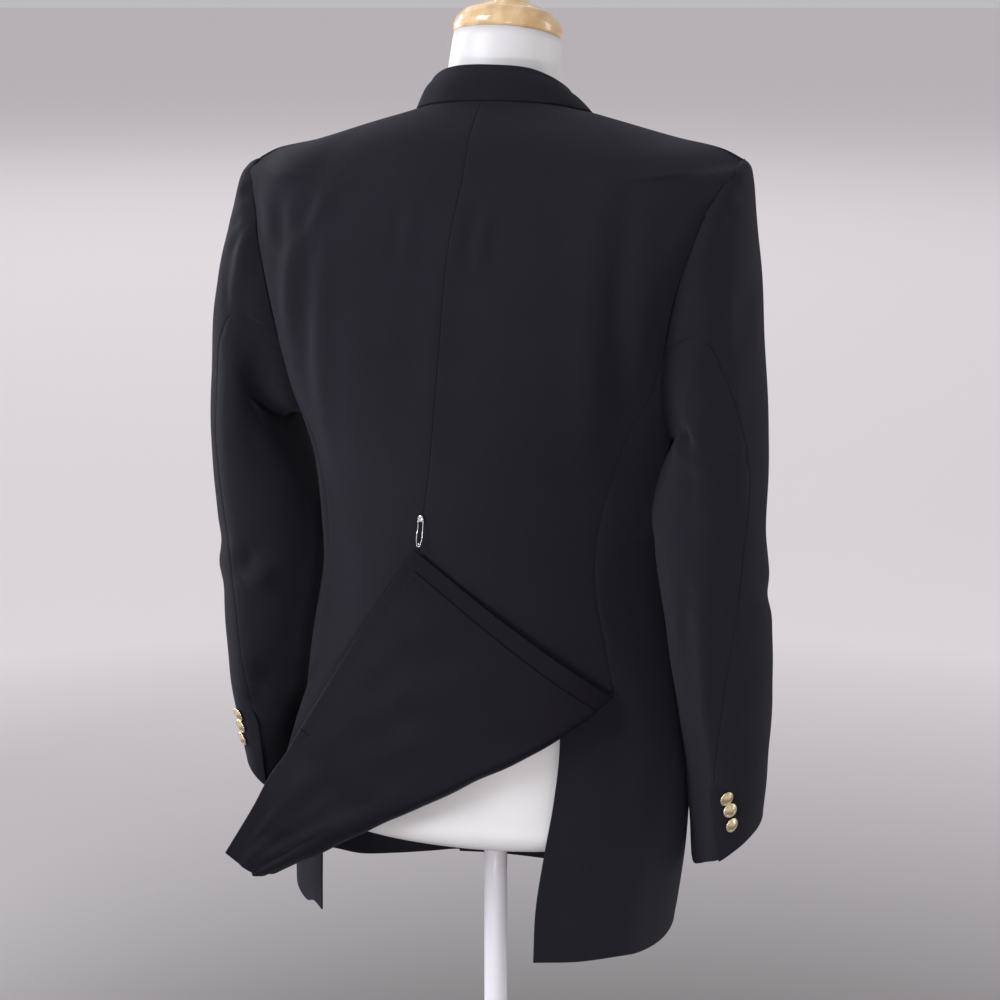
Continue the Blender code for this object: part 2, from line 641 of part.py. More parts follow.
# ---- side panels -------------------------------------------------------------------------------------
def side_panel(side):
    heights_back = seam_heights(SIDE_BACK_STEP)
    steps = np.arange(SIDE_BACK_STEP, SIDE_FRONT_STEP + 1)
    top_angles, top_heights = armhole_place(steps)
    wide_top, wide_hem = UNDERLAP[side]
    grid = []
    normals = []
    for back_height in heights_back:
        climb = (back_height - HEM_H) / (heights_back[-1] - HEM_H)
        heights = HEM_H + (top_heights - HEM_H) * climb
        start = float(side_back_angle(back_height))
        end = float(side_front_angle(heights[-1]))
        even = np.linspace(start, end, len(steps))
        shaped = start + (top_angles - top_angles[0]) * (end - start) / (top_angles[-1] - top_angles[0])
        angles = even + (shaped - even) * smoothstep(0.6, 1.0, climb)
        reach = coat_point(start, back_height) - coat_point(start - 0.01, back_height)
        width = wide_hem + (wide_top - wide_hem) * smoothstep(HEM_H, VENT_H, back_height)
        lap = width / (np.linalg.norm(reach) / 0.01)
        laps = start - lap * np.linspace(1, 0, UNDERLAP_COLUMNS + 1)[:-1]
        angles = np.concatenate([laps, angles]) * SIGN[side]
        rise = UNDERLAP_RISE[side] * (1 - smoothstep(HEM_H, LEFT_HEM_TOP_H, back_height))
        heights = np.concatenate([np.full(UNDERLAP_COLUMNS, back_height + rise), heights])
        row = coat_point(angles, heights)
        facing = coat_normal(angles, heights)
        if back_height < VENT_H - 1e-6:
            row[:UNDERLAP_COLUMNS + 1] -= facing[:UNDERLAP_COLUMNS + 1] * UNDERLAP_DEPTH
        elif back_height < VENT_H + 1e-6:
            row[:UNDERLAP_COLUMNS] -= facing[:UNDERLAP_COLUMNS] * UNDERLAP_DEPTH
        grid.append(row)
        normals.append(facing)
    seam = UNDERLAP_COLUMNS
    grid = pull_in(np.array(grid), ("last_column",))
    grid[:, seam] += SEAM_GAP / 2 * unit(grid[:, seam + 1] - grid[:, seam])
    grid[-1, seam:] += armhole_apart(side)[steps]
    keep = np.ones((len(grid) - 1, grid.shape[1] - 1), bool)
    keep[SKIRT_ROWS - 1:, :seam] = False
    inner = grid - np.array(normals) * CLOTH
    inner[-1, seam:] = grid[-1, seam:] + armhole_inward(side)[steps]
    wall("side_panel_" + side, grid, inner, "navy_wool", keep)


# ---- fronts ------------------------------------------------------------------------------------------
def angle_at_x(x, height):
    """Angle, between the two side seams and across the front, at which the coat has this x."""
    turns = np.linspace(pi / 2, 3 * pi / 2, 181)
    return float(np.interp(-x, -coat_point(turns, np.full(181, float(height)))[:, 0], turns))


def roll_x(height):
    """The front edge below the break and the roll line above it, for the left front."""
    climb = np.clip((height - BREAK_H) / (NECK_H - BREAK_H), 0, 1)
    return -OVERLAP_X + (NECK_EDGE_X + OVERLAP_X) * climb


def front_out(side, x, height):
    """The left front lies over the right one, so it stands off where they overlap."""
    if side == "right":
        return np.zeros_like(x)
    near = 1 - smoothstep(OVERLAP_X, OVERLAP_X + OVERLAP_RAMP, x)
    return OVERLAP_OUT * near * (1 - smoothstep(*OVERLAP_FADE, height))


def front_skin(side, angles, heights, out=0.0):
    points = coat_point(angles, heights)
    lift = front_out(side, points[..., 0], np.asarray(heights, float)) + out
    return points + coat_normal(angles, heights) * lift[..., None]


def front_place(side, x, height):
    """Angle for a place given by its x on the left front; the right front mirrors it."""
    return angle_at_x(x * SIGN[side], height)


def lapel_share(side, height, start):
    """Share of a row, from seam to front edge, at which the lapel's outer edge runs."""
    table = np.array(LAPEL_EDGE)
    at = float(np.clip(height, table[0, 0], table[-1, 0]))
    edge = front_place(side, float(smooth_column(table[:, 0], table[:, 1], at)), at)
    finish = front_place(side, float(roll_x(at)), at)
    share = (edge - start) / (finish - start)
    if height < at:
        share = EVEN_SHARE + (share - EVEN_SHARE) * smoothstep(HEM_H, at, height)
    if height > at:
        share = share + (EVEN_SHARE - share) * (height - at) / (NECK_H - at)
    return float(np.clip(share, 0.05, 0.985))


def front_rows():
    """Heights and seam angles of a front panel's rows."""
    heights = list(seam_heights(SIDE_FRONT_STEP))
    edges = [float(side_front_angle(h)) for h in heights]
    for step in range(SIDE_FRONT_STEP + 1, ARMHOLE_STEPS + 1):
        angle, height = armhole_place(step)
        heights.append(float(height))
        edges.append(float(angle))
    for height in np.linspace(TIP_H, NECK_H, SHOULDER_ROWS + 1)[1:]:
        heights.append(float(height))
        edges.append(radians(SHOULDER_SEAM))
    return heights, edges


def gorge_row():
    return SKIRT_ROWS + BODY_ROWS + GORGE_STEP - SIDE_FRONT_STEP


def make_front(side):
    points = []
    normals = []
    for row, (height, edge) in enumerate(zip(*front_rows())):
        start = edge if side == "left" else 2 * pi - edge
        end = front_place(side, float(roll_x(height)), height)
        calm = calm_edge(ARMHOLE_STEPS - TIP_STEPS, height, edge)
        inner_start = calm if side == "left" else 2 * pi - calm
        share = lapel_share(side, height, start)
        shares = np.concatenate([np.linspace(0, share, BODY_COLUMNS + 1),
                                 np.linspace(share, 1, LAPEL_COLUMNS + 1)[1:]])
        angles = inner_start + (end - inner_start) * shares
        angles[0] = start
        heights = np.full(len(shares), height)
        if row == gorge_row():
            heights[BODY_COLUMNS:] -= np.array(GORGE_DIP)
        points.append(front_skin(side, angles, heights))
        normals.append(coat_normal(angles, heights))
    return np.array(points), np.array(normals)


FRONTS = {}


def front_grid(side):
    """Outer points and analytic normals of a front panel, worked out once."""
    if side not in FRONTS:
        FRONTS[side] = make_front(side)
    return FRONTS[side]


def front_panel(side):
    points, normals = front_grid(side)
    grid = pull_in(points, ("first_column",))
    steps = np.arange(SIDE_FRONT_STEP, ARMHOLE_STEPS + 1) % ARMHOLE_STEPS
    meet = SKIRT_ROWS + BODY_ROWS
    grid[meet:meet + len(steps), 0] += armhole_apart(side)[steps]
    inner = grid - normals * CLOTH
    inner[meet:meet + len(steps), 0] = grid[meet:meet + len(steps), 0] + armhole_inward(side)[steps]
    wall("front_" + side, grid, inner, "navy_wool")


def lapel(side):
    """The lapel lies on the front's own points, moved out."""
    points, normals = front_grid(side)
    heights = np.array(front_rows()[0])
    first = int(np.searchsorted(heights, BREAK_H)) + 1
    rows = slice(first, gorge_row() + 1)
    seat = points[rows, BODY_COLUMNS:] + normals[rows, BODY_COLUMNS:] * LAP_GAP
    outer = seat + normals[rows, BODY_COLUMNS:] * CLOTH
    wall("lapel_" + side, outer, seat, "navy_wool")


def rows_between(side, low, high):
    """The front's points and normals from one height to another, with its own rows between."""
    points, normals = front_grid(side)
    heights = np.array(front_rows()[0])
    inside = heights[(heights > low + 0.001) & (heights < high - 0.001)]
    wanted = np.concatenate([[low], inside, [high]])
    found = []
    for table in (points, normals):
        found.append(np.stack([[np.interp(wanted, heights, column[:, k]) for k in range(3)]
                               for column in table.transpose(1, 0, 2)]).transpose(2, 0, 1))
    return found


def patch(name, side, place):
    """A pocket flap or welt, laid on the front's own points and moved out."""
    first, last, low, high = place
    points, normals = rows_between(side, low, high)
    columns = slice(first, last + 1)
    seat = points[:, columns] + normals[:, columns] * PATCH_GAP
    outer = seat + normals[:, columns] * CLOTH
    wall(name, outer, seat, "navy_wool")


# ---- collar ------------------------------------------------------------------------------------------
def collar_places():
    """Stations of the neck seam from the right gorge round the back to the left gorge."""
    half = []
    neck_end = front_place("left", float(roll_x(NECK_H)), NECK_H)
    for angle in np.linspace(0, neck_end, COLLAR_STATIONS):
        half.append((angle, NECK_H, 0.0))
    for share in (0.35, 0.7, 1.0):
        height = NECK_H + (COLLAR_END_H - NECK_H) * share
        half.append((front_place("left", float(roll_x(height)), height), height, share))
    right = [(-a, h, s) for a, h, s in half[:0:-1]]
    return right + half


def surface_walk(angle, height, direction, distance):
    """Follow the coat's surface for a distance in a direction; returns angle and height."""
    step = 1e-4
    for _ in range(4):
        by_angle = (coat_point(angle + step, height) - coat_point(angle, height)) / step
        by_height = (coat_point(angle, height) - coat_point(angle, height - step)) / step
        frame = np.stack([by_angle, by_height], axis=1)
        move = np.linalg.lstsq(frame, direction * distance / 4, rcond=None)[0]
        angle = angle + move[0]
        height = height + move[1]
    return angle, height


def collar():
    places = collar_places()
    base = np.array([coat_point(a, h) for a, h, _ in places])
    tangent = unit(np.gradient(base, axis=0))
    notch = coat_point(front_place("left", *COLLAR_NOTCH), COLLAR_NOTCH[1])
    rows = []
    for k, (angle, height, front) in enumerate(places):
        normal = coat_normal(angle, height)
        outward = unit(np.cross(normal, tangent[k]))
        away = unit(outward * np.array([1, 1, 0]))
        if front > 0:
            aim = unit(notch * np.array([np.sign(base[k, 0]), 1, 1]) - base[k])
            outward = unit(outward * (1 - front) + aim * front)
        reach = spread(places[k])
        fall = COLLAR_FALL[0] + (COLLAR_FALL[1] - COLLAR_FALL[0]) * smoothstep(0.62, 1.0, reach)
        stand = COLLAR_STAND[0] + (COLLAR_STAND[1] - COLLAR_STAND[0]) * smoothstep(0.3, 1.0, reach)
        end_angle, end_height = surface_walk(angle, height, outward, fall)
        lift = CLOTH + COLLAR_GAP + front_lift(end_angle, end_height)
        edge = coat_point(end_angle, end_height) + coat_normal(end_angle, end_height) * lift
        up = unit(np.array([0, 0, 1.0]) * (1 - 0.5 * front) + normal * 0.5 * front)
        foot = base[k] + up * (COLLAR_GAP + front_lift(angle, height)) - away * CLOTH / 2
        lean = COLLAR_LEAN * (smoothstep(0.15, 0.5, reach) - smoothstep(0.75, 0.95, reach))
        roll = foot + up * stand - away * (0.002 + lean)
        knee = roll + up * 0.0022 + away * COLLAR_ROLL / 2
        drop = roll + away * COLLAR_ROLL - up * 0.001
        belly = (drop + edge) / 2 + unit(away + up) * 0.003
        rows.append([foot, roll - up * 0.001, knee, drop, (drop + belly) / 2 + away * 0.0008,
                     belly, (belly + edge) / 2 + away * 0.0004, edge])
    grid = np.array(rows).transpose(1, 0, 2)
    normals = grid_normals(grid)
    wall("collar", grid, grid - normals * CLOTH, "navy_wool")


def spread(place):
    """How far round a collar station is: 0 at the centre back, 1 at the gorge."""
    angle, height, front = place
    return abs(angle) / (pi * 0.75) if front == 0 else 0.75 + 0.25 * front


def front_lift(angle, height):
    point = coat_point(angle, height)
    side = "left" if point[0] > 0 else "right"
    return float(front_out(side, np.asarray(point[0]), np.asarray(height)))


# ---- sleeves -----------------------------------------------------------------------------------------
def sleeve_turns(side, place):
    """Turns of a ring's steps; the back seam wanders round the sleeve, and its neighbours with it."""
    seam = float(smooth_column(HINDARM_KEYS, HINDARM_PLACE[side], place))
    steps = np.interp(np.arange(ARMHOLE_STEPS), (0, HINDARM_STEP, FOREARM_STEP, ARMHOLE_STEPS),
                      (0, seam, FOREARM_STEP, ARMHOLE_STEPS))
    return 2 * pi * steps / ARMHOLE_STEPS


def sleeve_oval(side, place):
    """One ring of a sleeve from its table, at a place between rows."""
    turns = sleeve_turns(side, place)
    table = np.array(SLEEVE_ROWS, float)
    keys = np.arange(len(table))
    values = [smooth_column(keys, table[:, k], place) for k in range(table.shape[1])]
    outer_x, outer_z, inner_x, inner_z, centre_y, depth, twist, pitch = values
    own = smoothstep(0, SLEEVE_SET_BY, place)
    outer_add, inner_add, depth_scale = SLEEVE_SET[side]
    hang = smoothstep(0, len(table) - 1, place) * SLEEVE_LIFT[side]
    drop = LEFT_DROP * (1 - smoothstep(0, 5, place)) if side == "left" else 0.0
    shift = smooth_column(np.array(OUTER_KEYS), np.array(OUTER_SHIFT[side]), place)
    outer = np.array([outer_x + outer_add * own + shift, centre_y, outer_z + hang - drop])
    full = smooth_column(np.array(INNER_KEYS), np.array(INNER_SHIFT[side]), place)
    inner = np.array([inner_x + inner_add * own - full, centre_y, inner_z + hang])
    depth = depth * (1 + (depth_scale - 1) * own)
    across = unit(outer - inner)
    along = np.array([0, cos(radians(pitch)), -sin(radians(pitch))])
    major = across * cos(radians(twist)) + along * sin(radians(twist))
    minor = along * cos(radians(twist)) - across * sin(radians(twist))
    half = np.linalg.norm(outer - inner) / 2
    ring = ((outer + inner) / 2 + np.cos(turns)[:, None] * half * major
            + np.sin(turns)[:, None] * depth * minor)
    return ring * np.array([SIGN[side], 1, 1])


def armhole_ring(side):
    angles, heights = armhole_place(np.arange(ARMHOLE_STEPS))
    return coat_point(angles * SIGN[side], heights), coat_normal(angles * SIGN[side], heights)


def sleeve_grid(side):
    """Rings of a whole sleeve from the armhole down, a column for each armhole step."""
    armhole = armhole_ring(side)[0]
    own = armhole - sleeve_oval(side, 0.0)
    rings = [armhole]
    for place in SLEEVE_PLACES:
        fade = 1 - smoothstep(0, SLEEVE_BLEND, place)
        rings.append(sleeve_oval(side, place) + own * fade)
    rings[-1][:, 2] -= np.interp(np.arange(ARMHOLE_STEPS), HEM_STEPS, HEM_DROPS)
    return np.array(rings)


def ring_normals(rings, side):
    """Outward normals of rings that run down a sleeve and close on themselves."""
    along = np.roll(rings, -1, axis=1) - np.roll(rings, 1, axis=1)
    down = np.gradient(rings, axis=0)
    return unit(np.cross(down, along)) * SIGN[side]


def make_inward(side):
    """From the armhole's edge to its wrong side, shared by the panels and the sleeve."""
    sleeve_normals = ring_normals(sleeve_grid(side), side)[0]
    body = armhole_ring(side)[1]
    middle = unit(sleeve_normals + body)
    spread_cos = np.clip(np.sum(middle * body, axis=1, keepdims=True), 0.75, 1)
    return -middle * CLOTH / spread_cos


def armhole_apart(side):
    """Half a seam gap from the armhole's edge into the panels around it."""
    points, normals = armhole_ring(side)
    along = np.roll(points, -1, axis=0) - np.roll(points, 1, axis=0)
    away = unit(np.cross(normals, along))
    outward = np.sign(np.sum(away * (points - points.mean(axis=0)), axis=1, keepdims=True))
    return away * outward * SEAM_GAP / 2


INWARD = {}


def armhole_inward(side):
    if side not in INWARD:
        INWARD[side] = make_inward(side)
    return INWARD[side]


def sleeve(side):
    rings = sleeve_grid(side)
    inner = rings - ring_normals(rings, side) * CLOTH
    inner[0] = rings[0] + armhole_inward(side)
    top = np.arange(FOREARM_STEP, ARMHOLE_STEPS + HINDARM_STEP + 1) % ARMHOLE_STEPS
    under = np.arange(HINDARM_STEP, FOREARM_STEP + 1)
    for name, columns in (("top_sleeve_", top), ("under_sleeve_", under)):
        outer_part = pull_in(rings[:, columns], ("first_row", "first_column", "last_column"))
        inner_part = inner[:, columns] + (outer_part - rings[:, columns])
        wall(name + side, outer_part, inner_part, "navy_wool")


# ---- buttons and the pin -------------------------------------------------------------------------------
def frame_on(point, normal, upward):
    across = unit(np.cross(upward, normal))
    return point, across, unit(np.cross(normal, across)), normal


def turned(name, seat, profile, finish, segments=16):
    """A turned piece on a seat: profile rows are radius and height along the seat's normal."""
    point, across, up, normal = seat
    turns = 2 * pi * np.arange(segments) / segments
    rings = []
    for radius, rise in profile:
        rings.append(point + normal * rise + radius * (np.cos(turns)[:, None] * across
                                                       + np.sin(turns)[:, None] * up))
    return tube_round(name, rings, finish, 40)


def button(name, seat, radius):
    rise = BUTTON_RISE
    profile = ((radius * 0.80, rise), (radius, rise + 0.0008), (radius, rise + 0.0015),
               (radius * 0.86, rise + 0.0024), (radius * 0.55, rise + 0.0033),
               (radius * 0.12, rise + 0.0037))
    turned(name, seat, profile, "gold_metal")


def front_spot(x, height):
    """A point of the left front's own facets, at an x and a ring height."""
    points = front_grid("left")[0]
    heights = np.array(front_rows()[0])
    row = np.array([[np.interp(height, heights, points[:, c, k]) for k in range(3)]
                    for c in range(points.shape[1])])[::-1]
    return np.array([np.interp(x, row[:, 0], row[:, k]) for k in range(3)])


def front_buttons():
    """Each button sits on the highest of the facets under it."""
    turns = np.linspace(0, 2 * pi, 12, endpoint=False)
    for row, (x, height) in enumerate(BUTTON_PLACES, 1):
        for side, across in (("left", x), ("right", -x)):
            normal = coat_normal(angle_at_x(across, height), height)
            spot = front_spot(across, height)
            rim = np.array([front_spot(across + BUTTON_RADIUS * cos(turn),
                                       height + BUTTON_RADIUS * sin(turn)) for turn in turns])
            spot = spot + normal * max(0.0, float(np.max((rim - spot) @ normal)))
            seat = frame_on(spot, normal, np.array([0, 0, 1.0]))
            button("front_button_%s_%d" % (side, row), seat, BUTTON_RADIUS)


def sleeve_spot(side, step, above_hem):
    """A point, outward normal and upward direction on a sleeve's column, near its hem."""
    rings = sleeve_grid(side)
    normals = ring_normals(rings, side)
    low = rings[-1, step]
    climb = rings[-2, step] - low
    share = above_hem / float(np.linalg.norm(climb))
    normal = unit(normals[-1, step] * (1 - share) + normals[-2, step] * share)
    return low + climb * share, normal, unit(climb)


def cuff_buttons(side):
    for k in range(CUFF_BUTTONS):
        above = CUFF_BUTTON_FIRST + CUFF_BUTTON_STEP * k
        point, normal, up = sleeve_spot(side, CUFF_BUTTON_PLACE[side], above)
        button("cuff_button_%s_%d" % (side, k + 1), frame_on(point, normal, up), CUFF_BUTTON_RADIUS)


def safety_pin():
    """Bent wire with a coil at its lower end, and the clasp that closes it at the top."""
    angle = seam_swing(PIN_TOP_H - PIN_LENGTH / 2)
    top = coat_point(angle, PIN_TOP_H)
    normal = coat_normal(angle, PIN_TOP_H - PIN_LENGTH / 2)
    down = unit(coat_point(angle, PIN_TOP_H - PIN_LENGTH) - top)
    across = unit(np.cross(normal, down))
    lean = unit(down + normal * 0.13)
    face = unit(np.cross(down, across))
    face = face if face @ normal > 0 else -face
    width, depth, tall = PIN_CLASP
    start = top + normal * (PIN_RISE + depth / 2)
    arm_top = tall + SEAM_GAP + PIN_WIRE / 2
    coil_radius = PIN_WIDTH / 2
    coil_down = PIN_LENGTH - coil_radius - PIN_WIRE / 2
    path = []
    for share in np.linspace(0, 1, 5)[:-1]:
        path.append((-coil_radius, arm_top + (coil_down - arm_top) * share, 0.0))
    turns = np.linspace(0, 3 * pi, 25)
    for turn in turns:
        path.append((-coil_radius * cos(turn), coil_down + coil_radius * sin(turn),
                     PIN_WIRE * 1.5 * turn / (3 * pi)))
    for share in np.linspace(1, 0, 5)[1:]:
        path.append((coil_radius, arm_top + (coil_down - arm_top) * share, PIN_WIRE * 1.5 * share))
    points = [start + across * a + lean * b + face * c for a, b, c in path]
    curve = bpy.data.curves.new("safety_pin_wire", "CURVE")
    curve.dimensions = "3D"
    curve.bevel_depth = PIN_WIRE / 2
    curve.bevel_resolution = 1
    curve.use_fill_caps = True
    spline = curve.splines.new("POLY")
    spline.points.add(len(points) - 1)
    for slot, point in zip(spline.points, points):
        slot.co = (*point, 1)
    curve.materials.append(material("pin_steel"))
    wire = bpy.data.objects.new("safety_pin_wire", curve)
    bpy.context.scene.collection.objects.link(wire)
    rings = []
    for rise, scale in ((0.0, 0.55), (0.0010, 0.92), (tall * 0.5, 1.0), (tall, 0.94)):
        corners = []
        for turn in np.linspace(0, 2 * pi, 12, endpoint=False):
            corners.append(start + lean * rise + across * width / 2 * scale * cos(turn)
                           + face * depth / 2 * scale * sin(turn))
        rings.append(np.array(corners))
    tube_round("safety_pin_clasp", rings, "pin_steel", 60)


# ---- dress form -------------------------------------------------------------------------------------------
def tilted_ring(centre, half_width, half_depth, tilt, turns):
    back = np.array([0, cos(radians(tilt)), sin(radians(tilt))])
    side = np.array([1.0, 0, 0])
    turns = turns[:, None]
    return centre + half_width * np.sin(turns) * side + half_depth * np.cos(turns) * back


def form_torso():
    turns = 2 * pi * np.arange(FORM_SEGMENTS) / FORM_SEGMENTS
    rings = []
    for height in (FORM_BOTTOM_H,) + FORM_HEIGHTS:
        skin = coat_point(turns, np.full(FORM_SEGMENTS, height))
        inset = FORM_CLEAR + (0.008 if height == FORM_BOTTOM_H else 0.0)
        ring = skin - coat_normal(turns, np.full(FORM_SEGMENTS, height)) * inset
        if height == FORM_BOTTOM_H:
            ring[:, 2] = FORM_BOTTOM_H
        rings.append(ring)
    for z, centre_y, half_width, half_depth, tilt in NECK_TABLE:
        rings.append(tilted_ring(np.array([0, centre_y, z]), half_width, half_depth, tilt, turns))
    tube_round("form_torso", rings, "form_white", 60)


def neck_cap():
    z, centre_y, half_width, half_depth, tilt = NECK_TABLE[-1]
    normal = np.array([0, -sin(radians(CAP_TILT)), cos(radians(CAP_TILT))])
    seat = frame_on(np.array([0, centre_y, z]), normal, np.array([0, 1.0, 0]))
    turned("neck_cap", seat, CAP_PROFILE, "maple", ROUND_SEGMENTS)


def stand():
    seat = (np.zeros(3), np.array([1.0, 0, 0]), np.array([0, 1.0, 0]), np.array([0, 0, 1.0]))
    turned("base", seat, BASE_PROFILE, "stand_white", ROUND_SEGMENTS)
    pole_bottom = BASE_PROFILE[-1][1] + SEAM_GAP
    pole = ((POLE_RADIUS, pole_bottom), (POLE_RADIUS, FORM_BOTTOM_H - SEAM_GAP))
    turned("pole", seat, pole, "stand_white", 20)


def main():
    for thing in list(bpy.data.objects):
        bpy.data.objects.remove(thing, do_unlink=True)
    back_panels()
    for side in SIDES:
        side_panel(side)
        front_panel(side)
        lapel(side)
        patch("pocket_flap_" + side, side, FLAP_POCKET)
        sleeve(side)
        cuff_buttons(side)
    patch("breast_welt", "left", WELT_POCKET)
    flap_lining()
    collar()
    front_buttons()
    safety_pin()
    form_torso()
    neck_cap()
    stand()


main()
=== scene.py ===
"""Looks of the double-breasted blazer on its dress form.

Every cloth piece is a thin shell through the same coarse grids as the solid that it
stands for, drawn much finer, with its creases laid in as soft troughs and
ridges.  The wearer faces -Y and the wearer's left is +X.
"""
import json
from math import cos, sin, pi, radians

import bmesh
import bpy
import numpy as np
from mathutils import Matrix, Vector

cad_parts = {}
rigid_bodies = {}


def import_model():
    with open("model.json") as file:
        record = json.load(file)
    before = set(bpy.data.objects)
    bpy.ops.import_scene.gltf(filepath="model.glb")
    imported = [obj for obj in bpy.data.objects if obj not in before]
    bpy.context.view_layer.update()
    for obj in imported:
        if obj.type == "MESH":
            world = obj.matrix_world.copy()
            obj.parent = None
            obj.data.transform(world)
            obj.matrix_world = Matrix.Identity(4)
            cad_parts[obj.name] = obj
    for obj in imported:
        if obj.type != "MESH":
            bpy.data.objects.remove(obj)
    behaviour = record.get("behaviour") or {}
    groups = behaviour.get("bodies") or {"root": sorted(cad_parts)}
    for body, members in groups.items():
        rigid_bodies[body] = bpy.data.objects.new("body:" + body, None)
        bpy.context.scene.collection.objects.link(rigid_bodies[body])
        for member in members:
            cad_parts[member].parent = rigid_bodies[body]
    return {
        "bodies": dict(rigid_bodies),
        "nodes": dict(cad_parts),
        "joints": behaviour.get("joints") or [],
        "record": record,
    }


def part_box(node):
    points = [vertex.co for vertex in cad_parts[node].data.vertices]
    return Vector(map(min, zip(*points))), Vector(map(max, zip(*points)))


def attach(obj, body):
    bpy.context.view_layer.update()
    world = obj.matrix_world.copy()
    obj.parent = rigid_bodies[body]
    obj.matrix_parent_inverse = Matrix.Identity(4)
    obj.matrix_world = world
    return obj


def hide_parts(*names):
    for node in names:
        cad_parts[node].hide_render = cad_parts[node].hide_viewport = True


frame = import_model()

# ---- cloth ----
CLOTH = 0.0018            # wall of the wool panels
LINING = 0.0010           # wall of the flap's lining
LAP_GAP = 0.0005          # between a piece and the panel that it lies on

# ---- the coat's rings, named by the height of the centre back ----
RING_COLUMNS = ("back_z", "side_z", "front_z", "half_width", "back", "front",
                "centre_y", "shift", "square", "right_fill")
RINGS = (
    # back_z side_z front_z half_w  back   front  ctr_y  shift  square fill
    (0.712, 0.706, 0.700, 0.194, 0.139, 0.152, 0.000, 0.010, 2.15, -0.006),   # hem
    (0.840, 0.835, 0.830, 0.189, 0.137, 0.148, 0.000, 0.011, 2.15, 0.014),    # seat
    (0.975, 0.971, 0.968, 0.170, 0.128, 0.137, 0.000, 0.013, 2.15, 0.021),    # vent top
    (1.075, 1.072, 1.070, 0.156, 0.117, 0.128, 0.000, 0.015, 2.15, 0.025),    # waist
    (1.170, 1.166, 1.160, 0.168, 0.124, 0.133, 0.000, 0.009, 2.20, 0.006),    # ribs
    (1.255, 1.247, 1.240, 0.190, 0.130, 0.136, 0.000, 0.008, 2.60, 0.000),    # armpit
    (1.340, 1.338, 1.320, 0.212, 0.126, 0.132, 0.000, 0.006, 2.90, 0.000),    # shoulder blades
    (1.400, 1.408, 1.380, 0.231, 0.108, 0.118, 0.000, 0.003, 2.70, 0.000),    # yoke
    (1.435, 1.451, 1.411, 0.236, 0.088, 0.098, 0.004, 0.000, 2.30, 0.000),    # shoulder tips
    (1.475, 1.472, 1.437, 0.167, 0.067, 0.083, 0.002, 0.000, 2.20, 0.000),    # mid shoulder
    (1.508, 1.494, 1.452, 0.069, 0.046, 0.074, -0.014, 0.000, 2.10, 0.000),   # neck
)
FILL_POWER = (12, 3)      # how soon the right side's fill fades to the back, to the front
LEFT_HEM_RISE = 0.034     # the left side's hem hangs higher between these angles and below this height
LEFT_HEM_SPAN = (42.0, 90.0, 125.0)
LEFT_HEM_TOP_H = 0.90
HEM_H = RINGS[0][0]
VENT_H = RINGS[2][0]
TIP_H = RINGS[8][0]
NECK_H = RINGS[10][0]
LEFT_DROP = 0.008         # the left shoulder hangs a little lower
LEFT_DROP_H = (1.28, 1.43)        # between these heights it grows to its full measure,
LEFT_DROP_X = (0.02, 0.20)        # and between these places across
SEAM_SWING = 12.0         # degrees that the centre seam swings to the wearer's left
SWING_START_H = 1.33
SWING_END_H = 1.02

# ---- armhole, an oval on the rings ----
ARMHOLE_STEPS = 24
ARMHOLE_BOTTOM_H = 1.206
ARMHOLE_BACK = 20.0       # degrees behind the shoulder seam
ARMHOLE_FRONT = 24.0
SIDE_BACK_STEP = 7        # armhole steps where the panels' seams meet it
SIDE_FRONT_STEP = 14
HINDARM_STEP = 7          # and where the sleeve's two seams do
FOREARM_STEP = 16
SHOULDER_SEAM = 90.0      # degrees from the centre back

# ---- side seams, in degrees from the centre back ----
SIDE_BACK_HEM = 63.5
SIDE_BACK_VENT = 63.5
SIDE_BACK_WAIST = (1.120, 61.0)    # height, angle
SIDE_FRONT_HEM = 106.0
UNDERLAP_DEPTH = CLOTH + 0.0014
UNDERLAP = {"right": (0.050, 0.097), "left": (0.040, 0.035)}   # width at vent top, at hem
UNDERLAP_RISE = {"right": 0.0, "left": 0.010}     # how much higher its own hem is
UNDERLAP_COLUMNS = 2
SKIRT_ROWS = 6
VENT_SLIP = 0.004         # the underlap starts this far below the vent top
BODY_ROWS = 8
SHOULDER_ROWS = 4
TIP_STEPS = 3             # armhole steps either side of the tip where inner columns ignore its curve
BACK_SHARES = (0.0, 0.20, 0.40, 0.60, 0.78, 0.93, 1.0)

# ---- the turned-up flap ----
FOLD_RIGHT_DROP = 0.005   # fold line below the vent top on the right
FOLD_LEFT_RISE = 0.072    # and above the hem at the left vent
FLAP_HEM_RISE = 0.009     # the back's hem is cut a little shorter
FOLD_RADIUS = (0.0016, 0.0090)   # at the vent top, at the left vent
PINNED_OUT = CLOTH * 2 + 0.0016   # how far off the back the pinned corner lies
FLAT_START = 0.45         # share of the vent height in which the flap leaves the hip
COVER_FLAT = 0.85         # least flatness of the turned-up layer
FLAP_BLEND = 0.02         # past the fold, where that layer takes over from the skirt
PLAN_REACH = 95.0         # degrees either side of the centre seam that a ring is measured for
SHEET_HALF = 0.28         # half width of the flap's tables
FLAP_LOW_ROWS = 6
FLAP_TURN_ROWS = 6
FLAP_HIGH_ROWS = 3
HEM_FACING = 0.012
LINING_TURN_ROWS = 4

